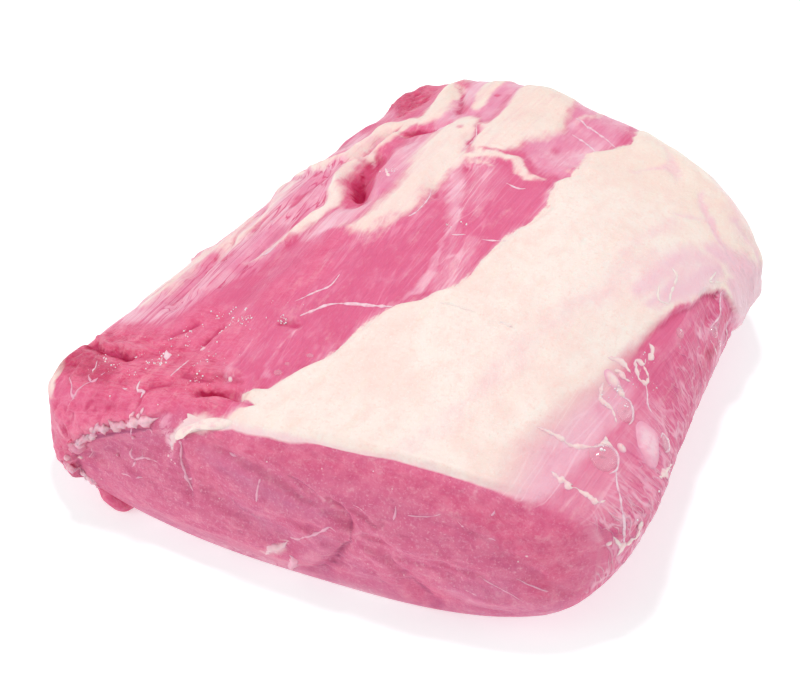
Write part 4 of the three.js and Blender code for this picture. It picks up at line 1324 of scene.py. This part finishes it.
def set_stage():
    """A lit white floor, an even white surround, a key lamp overhead and two soft fills."""
    mesh = bpy.data.meshes.new("floor")
    r = FLOOR_REACH
    mesh.from_pydata([(-r, -r, 0), (r, -r, 0), (r, r, 0), (-r, r, 0)], [], [(0, 1, 2, 3)])
    mesh.materials.append(white_paper())
    in_scene("floor", mesh)
    world = bpy.data.worlds.new("surround")
    bpy.context.scene.world = world
    world.use_nodes = True
    background = world.node_tree.nodes["Background"]
    background.inputs["Color"].default_value = linear("FFFFFF")
    background.inputs["Strength"].default_value = SURROUND_STRENGTH
    for name, place, size, power in LAMPS:
        lamp = bpy.data.lights.new(name, "AREA")
        lamp.size = size
        lamp.energy = power
        aim(in_scene(name, lamp), place, LAMP_TARGET)
    bpy.context.scene.view_settings.view_transform = "Standard"


# ---- pieces ----
# Threads are paths of (u, v, half width) on the sides (across, y) or the front cut (x, z).

MARBLING = [  # fat between the fibres of the front cut
    [(-70.2, 39.6, 0.1), (-70.9, 38.6, 0.25), (-71.9, 38, 0.4), (-73.5, 37.1, 0.35),
     (-74.5, 35.9, 0.4), (-74, 35.2, 0.3)],
    [(-74, 35.2, 0.4), (-76.3, 34.9, 0.25), (-78.5, 35.4, 0.25), (-81.8, 34.9, 0.1)],
    [(-71.9, 38, 0.35), (-75.1, 37.8, 0.15)],
    [(-74, 35.2, 0.3), (-74.3, 34.2, 0.25), (-74.1, 32.8, 0.1)],
    [(-50.5, 30.9, 0.15), (-50.9, 28.3, 0.3), (-49.1, 27.6, 0.35), (-46.2, 29.4, 0.3),
     (-44, 29.9, 0.22), (-40.7, 30, 0.1)],
    [(-49.1, 27.6, 0.35), (-48.6, 26.9, 0.25), (-49.9, 24.4, 0.1)],
    [(-47, 31.3, 0.1), (-46.6, 30.3, 0.15), (-46.2, 29.4, 0.25)],
    [(-49.2, 38.6, 0.1), (-49.6, 37, 0.2), (-50, 35.4, 0.1)],
    [(-44.8, 39.6, 0.1), (-43.3, 40.2, 0.15), (-43.3, 37.6, 0.1)],
    [(-53.6, 20.7, 0.15), (-51.4, 21.4, 0.3), (-49.8, 21, 0.12)],
    [(-48.2, 21.5, 0.1), (-47, 22.4, 0.22), (-45.6, 22.8, 0.12)],
    [(-64, 26.3, 0.1), (-65, 23, 0.2), (-66.9, 19.5, 0.12)],
    [(-33.4, 40.4, 0.3), (-33, 34, 0.2), (-31.5, 30, 0.2), (-31, 27.7, 0.35), (-28.8, 24, 0.12)],
    [(-31, 27.9, 0.15), (-30, 27.8, 0.2), (-29.4, 28.6, 0.1)],
    [(-6.5, 37.8, 0.12), (-6.7, 34.8, 0.3), (-7, 30, 0.15)],
    [(22, 38.6, 0.1), (23.5, 38.3, 0.25), (25, 37.6, 0.1)],
    [(33.9, 41.5, 0.1), (34.2, 39, 0.2), (34, 37.4, 0.1)],
    [(37.6, 39.5, 0.08), (43, 40.4, 0.15), (46.5, 42.2, 0.08)],
    [(51.2, 41.2, 0.1), (52.7, 40.2, 0.3), (53.4, 39.9, 0.1)],
    [(59.8, 44.4, 0.1), (60.3, 45.2, 0.3), (60.4, 46, 0.1)],
    [(60.2, 37.6, 0.1), (61.3, 37.8, 0.3), (62.3, 37.5, 0.1)],
    [(58.9, 24.3, 0.08), (63.2, 22.4, 0.18), (67.5, 20, 0.15), (70.7, 18, 0.08)],
    [(68.9, 25.8, 0.08), (72.7, 24, 0.18), (77.4, 21.7, 0.08)],
    [(55.6, 17.8, 0.1), (57, 17.6, 0.25), (58.9, 17, 0.1)],
    [(2.8, 19.3, 0.2), (5.4, 19.7, 0.35), (8.6, 22.7, 0.35), (13.2, 26.4, 0.4), (16, 29.5, 0.25),
     (17.8, 28, 0.1)],
    [(-17.7, 41.6, 0.1), (-16.3, 41.2, 0.25), (-15.3, 41.2, 0.1)]]
FRONT_FLECKS = [  # (x, z, radius) of fat crumbs on the front cut
    (-5, 43.9, 0.4), (11, 45.9, 0.3), (25.6, 49, 0.35), (32, 45.9, 0.3), (26.8, 17.8, 0.35),
    (36.9, 15.9, 0.35), (70.9, 34, 0.6), (68.9, 31.7, 0.4), (-37.3, 33.5, 0.6), (-36, 32.9, 0.5),
    (-34.6, 32.3, 0.5), (-36.4, 36.4, 0.7), (-37.4, 38.6, 0.9), (-20, 25, 0.3), (-26, 34, 0.3),
    (48, 20, 0.3)]
THREADS = [  # membrane on the sides
    [(-34, -53.5, 0.15), (-31, -50, 0.4), (-28, -46.5, 0.4), (-22, -44.4, 0.5), (-15, -43.2, 0.6),
     (-9, -41.5, 0.4)],
    [(-38.8, -48.5, 0.1), (-35.2, -43.8, 0.3), (-31.8, -39.5, 0.25), (-31.5, -34, 0.1)],
    [(-59, -85.9, 0.1), (-58.5, -82.7, 0.3), (-58.3, -79.5, 0.25), (-59, -76.8, 0.1)],
    [(-70.3, -73.3, 0.2), (-69.4, -74.6, 0.9), (-68.2, -75.6, 0.8), (-66.8, -78, 0.2)],
    [(-68.2, -89.7, 0.15), (-68.4, -92.5, 0.35), (-67.6, -93.4, 0.4), (-65.5, -93.5, 0.35),
     (-66.5, -95.6, 0.15)],
    [(-75, -93.2, 0.1), (-73.8, -93.4, 0.3), (-72.7, -93.2, 0.1)],
    [(-89.5, -84, 0.1), (-88.8, -87.7, 0.3), (-88, -89.6, 0.12)],
    [(-86, -31.5, 0.1), (-83.4, -30, 0.4), (-80.5, -30.5, 0.15)],
    [(-65.4, -17.3, 0.2), (-64.9, -20.3, 0.3), (-65.2, -24.2, 0.3), (-66, -26.2, 0.25),
     (-67.5, -28, 0.1)],
    [(-7, -6.3, 0.1), (-4.5, -6.3, 0.25), (-1.9, -6, 0.1)],
    [(3.6, -6, 0.1), (7, -5, 0.25), (11, -3.3, 0.1)],
    [(-23.6, -4.6, 0.1), (-22.2, -0.4, 0.25), (-22, 5.9, 0.2), (-24, 11.2, 0.1)],
    [(5.9, 71, 0.15), (14.6, 68, 0.45), (24.6, 62, 0.12)],
    [(8.3, 62, 0.12), (13.5, 60, 0.4), (20, 55.3, 0.12)],
    [(0.1, 21.5, 0.1), (4.9, 21, 0.3), (6.9, 22.3, 0.1)],
    [(-27.8, 51, 0.1), (-24.6, 44.3, 0.2), (-24.4, 38.3, 0.2), (-24.9, 32.7, 0.1)],
    [(-50, 47.6, 0.12), (-47.5, 48.9, 0.35), (-44.6, 51.6, 0.3), (-40, 52.8, 0.1)],
    [(77.3, 34.3, 0.15), (79.4, 30, 0.4), (82.2, 27, 0.35), (82, 22.6, 0.3), (80.9, 18.3, 0.12)],
    [(87.8, 32.3, 0.15), (94, 33.4, 0.4), (95, 27.6, 0.15)],
    [(91.8, 19.5, 0.1), (88, 17.6, 0.35), (83.7, 16.2, 0.12)],
    [(67.2, -22.3, 0.2), (68.7, -24.2, 0.35), (70, -28.8, 0.3), (72, -30, 0.12)],
    [(68.9, -56.4, 0.1), (70.5, -59.4, 0.2), (72.4, -61.9, 0.25), (75.7, -65, 0.3),
     (80.2, -66.8, 0.3), (85.8, -67.8, 0.4), (92.3, -67.7, 0.15)]]
FAT_THREADS = [  # on the fat cover
    [(58.3, 18.9, 0.1), (61, 17.6, 0.4), (61.6, 13.9, 0.35), (61.9, 9.2, 0.35), (62.9, 5.9, 0.1)],
    [(57.7, 9, 0.1), (58.7, 5.2, 0.45), (60, 4, 0.4), (62.5, 5.5, 0.12)],
    [(3.6, -36.4, 0.1), (9, -35.2, 0.3), (14.5, -34.7, 0.1)],
    [(21.9, -34.7, 0.1), (24, -34.5, 0.3), (26.5, -34.5, 0.1)],
    [(72, 36, 0.1), (71.6, 32, 0.3), (71.4, 29.3, 0.25), (73.5, 32.5, 0.25), (75.7, 35.9, 0.1)]]
FAT_STRANDS = [  # lumpy strands of fat drawn out over the flank
    [(45, -60, 0.2), (48.5, -59, 0.5), (52, -58, 0.6), (54.2, -58, 0.45), (56.8, -56.5, 0.5),
     (60.9, -53.2, 0.6), (63, -50, 0.7), (65.4, -49.7, 0.4)],
    [(62.2, -48, 0.2), (62.8, -49.3, 0.5), (62.6, -50.5, 0.2)],
    [(59.4, -31, 0.5), (61.5, -32.2, 0.7), (62.8, -32.7, 0.3)],
    [(55.7, -34, 0.3), (56, -36.4, 0.6), (57, -38.8, 0.7), (59.2, -38.8, 0.6), (61, -39, 0.5),
     (62.6, -40.5, 0.5), (63.6, -41.9, 0.2)],
    [(53.8, -26.5, 0.4), (56.5, -24.2, 0.9), (58.8, -23.4, 1), (61, -24.3, 0.6),
     (61.8, -24.7, 0.3)],
    [(57, -28, 0.3), (58.6, -26.6, 0.6), (60.5, -27.5, 0.6), (62.5, -27, 0.3)],
    [(63, -10, 0.3), (64.6, -10.6, 0.6), (65.3, -12.8, 0.7), (65, -14.8, 0.4)],
    [(64, -15.4, 0.3), (64.3, -17.3, 0.6), (61.7, -18.6, 0.6), (61.6, -19.9, 0.7),
     (63.3, -22.3, 0.7), (64.9, -23.8, 0.7), (67.2, -22.3, 0.6), (67.5, -19.9, 0.6),
     (66.3, -18.9, 0.5), (64.3, -18, 0.3)],
    [(53.5, -68.8, 0.3), (55.9, -69.5, 0.8), (58, -69.2, 1), (59.8, -70, 0.8), (61.2, -69, 0.6),
     (63.2, -69.2, 0.5), (65.5, -68.9, 0.6), (67.8, -69.2, 0.7), (69.5, -68.4, 0.6),
     (70.4, -66.7, 0.3)],
    [(86.5, -62, 0.3), (91.2, -62, 0.7), (93.9, -62.4, 0.6), (92.8, -66, 0.6), (93.2, -67.5, 0.3)],
    [(86.4, -70.6, 0.3), (88.5, -70, 0.7), (90.7, -69.3, 0.9), (92.9, -67.9, 0.7),
     (96, -69.3, 0.3)],
    [(88, -34, 0.3), (84.5, -40.8, 0.6), (83.3, -44, 0.9), (82.7, -45.9, 0.6), (81.5, -46.5, 0.3)],
    [(-47, 18.8, 0.2), (-44, 15.5, 0.5), (-42, 13.7, 0.3)]]
TISSUE = [(72, -37, 1.5), (75, -39, 2.5), (77.5, -43, 2)]
TISSUE_PATCH = [  # the outline of the fold of membrane that lies there
    (69.6, -35.8), (72.5, -34.9), (75.7, -35.4), (78, -38.9), (80.2, -43.5), (78, -46.8),
    (73.3, -44.4), (71.3, -42.4), (69.3, -38.8)]
FAT_LOBES = [  # (across, y, radius, other radius, height)
    (57.6, -30.8, 3.1, 2.2, 0.9), (60.3, -31.2, 1.3, 0.9, 0.8), (67.9, -47.9, 1.7, 1.4, 0.9),
    (89.6, -71.7, 1.1, 0.9, 0.8), (-57, -71.9, 1.1, 0.8, 0.6), (-103, -20.6, 0.9, 0.9, 1),
    (-40.4, -81.9, 0.7, 0.6, 0.5)]
BUBBLES = [  # (across, y, radius, other radius)
    (64.8, -36.6, 2.9, 3.6), (64, -55, 4.3, 4.3), (79.5, -34.8, 2.3, 2.3), (70.3, 2.2, 1.6, 1.6),
    (84.2, 21, 2.1, 2.1), (89.4, 22.3, 1.2, 1.2), (85, 25.7, 0.7, 0.7), (72.3, -1.5, 0.7, 0.7),
    (-28.3, -75.3, 1.4, 1.1), (-27.7, -71.3, 0.8, 0.7), (-23, -66.3, 1.2, 0.8)]
# pale crescents along one side of the big bubbles: painted reflections of their rims
BUBBLE_RIM_REFLECTIONS = [
    [(62.4, -33, 0.15), (64.8, -32.8, 0.3), (66.9, -34.9, 0.35), (67.7, -37.4, 0.3),
     (67.2, -39.7, 0.12)],
    [(61, -53.4, 0.15), (62.9, -51, 0.3), (65.6, -50, 0.35), (67.8, -51, 0.35), (68.8, -53.7, 0.35),
     (68.9, -56.4, 0.3), (67.6, -58.6, 0.12)],
    [(77, -35.6, 0.15), (77.4, -33, 0.3), (79.3, -31.9, 0.4), (81.6, -32.6, 0.4), (82, -34.8, 0.35),
     (80.6, -37.2, 0.15)]]
JUICE_PATCHES = [  # (number, across, y, spread across, spread along) of scattered beads
    (90, -66, -78, 16, 13), (50, -60, -61, 6, 6), (60, -50, -55, 9, 5), (30, -50, -82, 8, 6),
    (26, -36, -56, 4, 1.5), (14, -10, -2, 5, 1), (16, -44, 16, 3, 4), (20, 60, -34, 6, 8),
    (16, 66, -20, 5, 8), (20, 88, -50, 8, 20), (30, -84, -80, 8, 6)]
LEDGE_CREST = [  # the torn ledge on the front cut
    (-70.5, 19.8, 0.8), (-69.6, 23, 1.5), (-67.4, 26.4, 1.6), (-65.4, 30, 1.3), (-62.4, 32, 1.6),
    (-60.4, 34.9, 1.2), (-57, 35.8, 1.4), (-53.4, 37.9, 1.3), (-50.3, 39, 1.3), (-47.4, 40.8, 1.1),
    (-44, 42.1, 0.9), (-41.2, 43.6, 0.3)]
LEDGE_FOOT = [
    (-74.8, 16, 0.6), (-72.6, 15, 1.1), (-70.9, 13, 1), (-69, 11, 1.2), (-66.6, 10, 1),
    (-64.6, 9.4, 0.5)]
LEDGE_LOBES = [  # (x, z, radius)
    (-71.4, 21.6, 1.5), (-66, 29.4, 1.2), (-62.6, 31.4, 1.2), (-72.8, 18.6, 1.3),
    (-57.6, 35.6, 0.9), (-69, 25, 1.3)]
FLAP = [
    (-67.5, 9.5, 0.8), (-64.5, 6.6, 2.4), (-61, 3.6, 3), (-57.5, 2.3, 2.4), (-54, 3, 0.8)]
FAT_LENS = [  # the outline of a lens of fat at the left end of the cut's fat edge
    (-35.6, 40.6), (-35, 42.4), (-33.5, 44), (-31, 45.3), (-27.7, 46.9), (-23.9, 48), (-19, 48.6),
    (-21, 46.8), (-24.9, 45.6), (-27.7, 44.8), (-30.7, 43.4), (-32.8, 41.8), (-34.4, 40.2)]
FAT_TAG = [  # tags of fat below the middle of the cut
    (-5.3, 8.7, 0.2), (-3.8, 11.4, 0.8), (-2.5, 13.4, 1), (0, 14.7, 0.8), (1.4, 16.4, 0.5),
    (2.3, 17.7, 0.2)]
LOW_TAG = [
    (2.9, 12.8, 0.3), (4, 11, 0.8), (3.4, 8.4, 1), (2.4, 6, 1.1), (0.9, 3.4, 0.8), (1.2, 1.4, 0.3)]
CRUMB_STEP, CRUMB_JITTER, CRUMB_RADII = 1.6, 0.4, (0.4, 1.1)
FLAP_Y, FLAP_BULGE, FLAP_DEPTH = -100.5, 2.2, 2.2
GROUND_GAP = 0.05
GLINTS = np.array([(-0.35, 0.1, 0.13), (-0.1, 0.2, 0.08), (-0.3, 0.4, 0.05)])
BIG_BUBBLES = 4  # the bubbles that carry glints, which are (across, along, radius) shares
BEAD_DRAWS, BEAD_SPREAD, BEAD_LIFT = 5, 0.6, 0.08
BEAD_RADIUS, BEAD_SWELL = 0.1, 0.26


def veal_body(material):
    """The body: the raised grid closed into a ring, with a point at the middle of each cut."""
    points, faces = closed_rings(body_points, body_points[0].mean(0), body_points[-1].mean(0))
    attributes = {
        key: np.concatenate([values.ravel(), [values[0].mean(), values[-1].mean()]])
        for key, values in layers(base).items()}
    piece = make_piece("veal_body", material, "veal_flesh", points, faces, attributes)
    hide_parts(NODE)


def torn_ledge(material):
    """The torn ledge over the smooth left of the cut: a lumpy ribbon of pale pink flesh."""
    random = np.random.default_rng(3)
    along = smooth_path(LEDGE_CREST[:-2] + LEDGE_FOOT[::-1], step=CRUMB_STEP)
    crumbs = [(u + random.normal() * CRUMB_JITTER, v + random.normal() * CRUMB_JITTER,
               random.uniform(*CRUMB_RADII)) for u, v, _ in along]
    parts = [strand(LEDGE_CREST, 0.7, on_front, lumpy=1.0, seed=71, sides=12),
             strand(LEDGE_FOOT, 0.6, on_front, lumpy=1.0, seed=72, sides=10)]
    parts += [round_lobe(u, v, r, 0.7 * r, on_front, 0.7 * r, lumpy=0.9, seed=73)
              for u, v, r in LEDGE_LOBES + crumbs]
    points, faces, fields = gathered(parts)
    # paler along the top: partly pale torn membrane, partly a painted highlight on the ledge's lit
    # top
    pale = 1.0 - fields["edge"]
    fields = {"torn": 0.3 + 0.7 * fields["edge"], "veil": 0.95 * pale, "cream": 0.25 * pale,
              "cover": np.full(len(points), -COVER_REACH)}
    make_piece("torn_ledge", material, "veal_flesh", points, faces, fields)


def front_flap(material):
    """A crescent of red meat that hangs before the lower left edge, down to the ground."""
    path = smooth_path(FLAP)
    y = FLAP_Y - FLAP_BULGE * np.sin(np.linspace(0, np.pi, len(path)))
    centre = together(path[:, 0], y, path[:, 1])
    forward = np.array([0.0, -1.0, 0.0])
    beside = np.cross(unit(np.gradient(centre, axis=0)), forward)
    turn = circle(14)[:, None]
    half = (path[:, 2] * (1 + 0.2 * lumps(centre, 2.5, 74)))[:, None, None]
    rings = (centre[:, None] + beside[:, None] * half * np.cos(turn)
             + forward * FLAP_DEPTH * np.sin(turn) * np.minimum(half / 2, 1))
    rings[..., 2] = np.maximum(rings[..., 2], GROUND_GAP)
    points, faces = closed_rings(rings, rings[0].mean(0), rings[-1].mean(0))
    fields = {name: np.full(len(points), value)
              for name, value in (("torn", 0.6), ("cover", -COVER_REACH), ("ash", 0.8))}
    make_piece("front_flap", material, "veal_flesh", points, faces, fields)


def fat_pieces(material):
    """Folds, strands and crumbs of fat that stand on the skin."""
    points, faces, edge = lobe(FAT_LENS, 1.5, on_front, flat=3, lumpy=0.15, seed=81)
    parts = [(points, faces, 0 * edge),
             strand(FAT_TAG, 0.6, on_front, lumpy=0.8, seed=82, pink=0.55),
             strand(LOW_TAG, 0.6, on_front, lumpy=0.8, seed=83, pink=0.75)]
    parts += [strand(path, 0.35, lumpy=1.1, seed=84, pink=0.35) for path in FAT_STRANDS]
    on_cover = [strand(path, 0.35, lumpy=0.5, seed=88) for path in FAT_THREADS]
    parts += [(points, faces, 0.2 * edge) for points, faces, edge in on_cover]
    parts += [round_lobe(u, v, r, 0.6 * h, other=w, lumpy=0.6, seed=85, pink=0.4)
              for u, v, r, w, h in FAT_LOBES]
    parts += [round_lobe(u, v, 0.7 * r, 0.3 * r, on_front, lumpy=0.3, seed=86, pink=0.5)
              for u, v, r in FRONT_FLECKS]
    make_piece("fat_folds", material, "veal_fat", *gathered(parts))


def membrane_threads(material):
    """Veins of fat in the cut, threads of membrane on the sides, and pale crescents on the bubbles
    that are painted rim reflections.
    """
    parts = [strand(path, 0.35, on_front, lumpy=1.0, seed=87, pink=0.7) for path in MARBLING]
    parts += [strand(path, 0.35, lumpy=0.8, seed=88, pink=0.15) for path in THREADS]
    parts += [strand(path, 0.5) for path in BUBBLE_RIM_REFLECTIONS]
    parts.append(lobe(TISSUE_PATCH, 0.7, flat=3, lumpy=0.5, seed=89, pink=0.35))
    make_piece("membrane_threads", material, "fascia", *gathered(parts))


def juice_domes(material):
    """Clear domes of juice."""
    domes = [round_lobe(u, v, r, 0.5 * r, other=w, steep=0.5) for u, v, r, w in BUBBLES]
    points, faces, _ = gathered(domes)
    make_piece("juice_domes", material, "meat_juice", points, faces)


def juice_beads(material):
    """White beads painted as glints on the large bubbles, and seeded clusters of white beads,
    painted glints too, where the meat is torn and wet.

    More places are drawn than there are beads, which go where a noise is highest.
    """
    random = np.random.default_rng(5)
    centres, radii = [], []
    for u, v, r, w in BUBBLES[:BIG_BUBBLES]:
        at, out = on_side(u + r * GLINTS[:, 0], v + w * GLINTS[:, 1])
        centres.append(at + out * 0.5 * r)
        radii.append(GLINTS[:, 2] * r)
    for number, across, y, wide, long in JUICE_PATCHES:
        spread = random.normal(size=(BEAD_DRAWS * number, 2)) * BEAD_SPREAD
        at, out = on_side(across + spread[:, 0] * wide, y + spread[:, 1] * long)
        kept = np.argsort(lumps(at, 3.5, 91))[-number:]
        centres.append(at[kept] + out[kept] * BEAD_LIFT)
        radii.append(BEAD_RADIUS + BEAD_SWELL * random.random(number) ** 3)
    points, faces = beads(np.concatenate(centres), np.concatenate(radii))
    make_piece("juice_beads", material, "meat_juice", points, faces)


set_camera()
set_stage()
veal = raw_veal()
veal_body(veal)
torn_ledge(veal)
front_flap(veal)
fat_pieces(firm_fat())
membrane_threads(pale_membrane())
juice_domes(meat_juice())
juice_beads(painted_glint_beads())
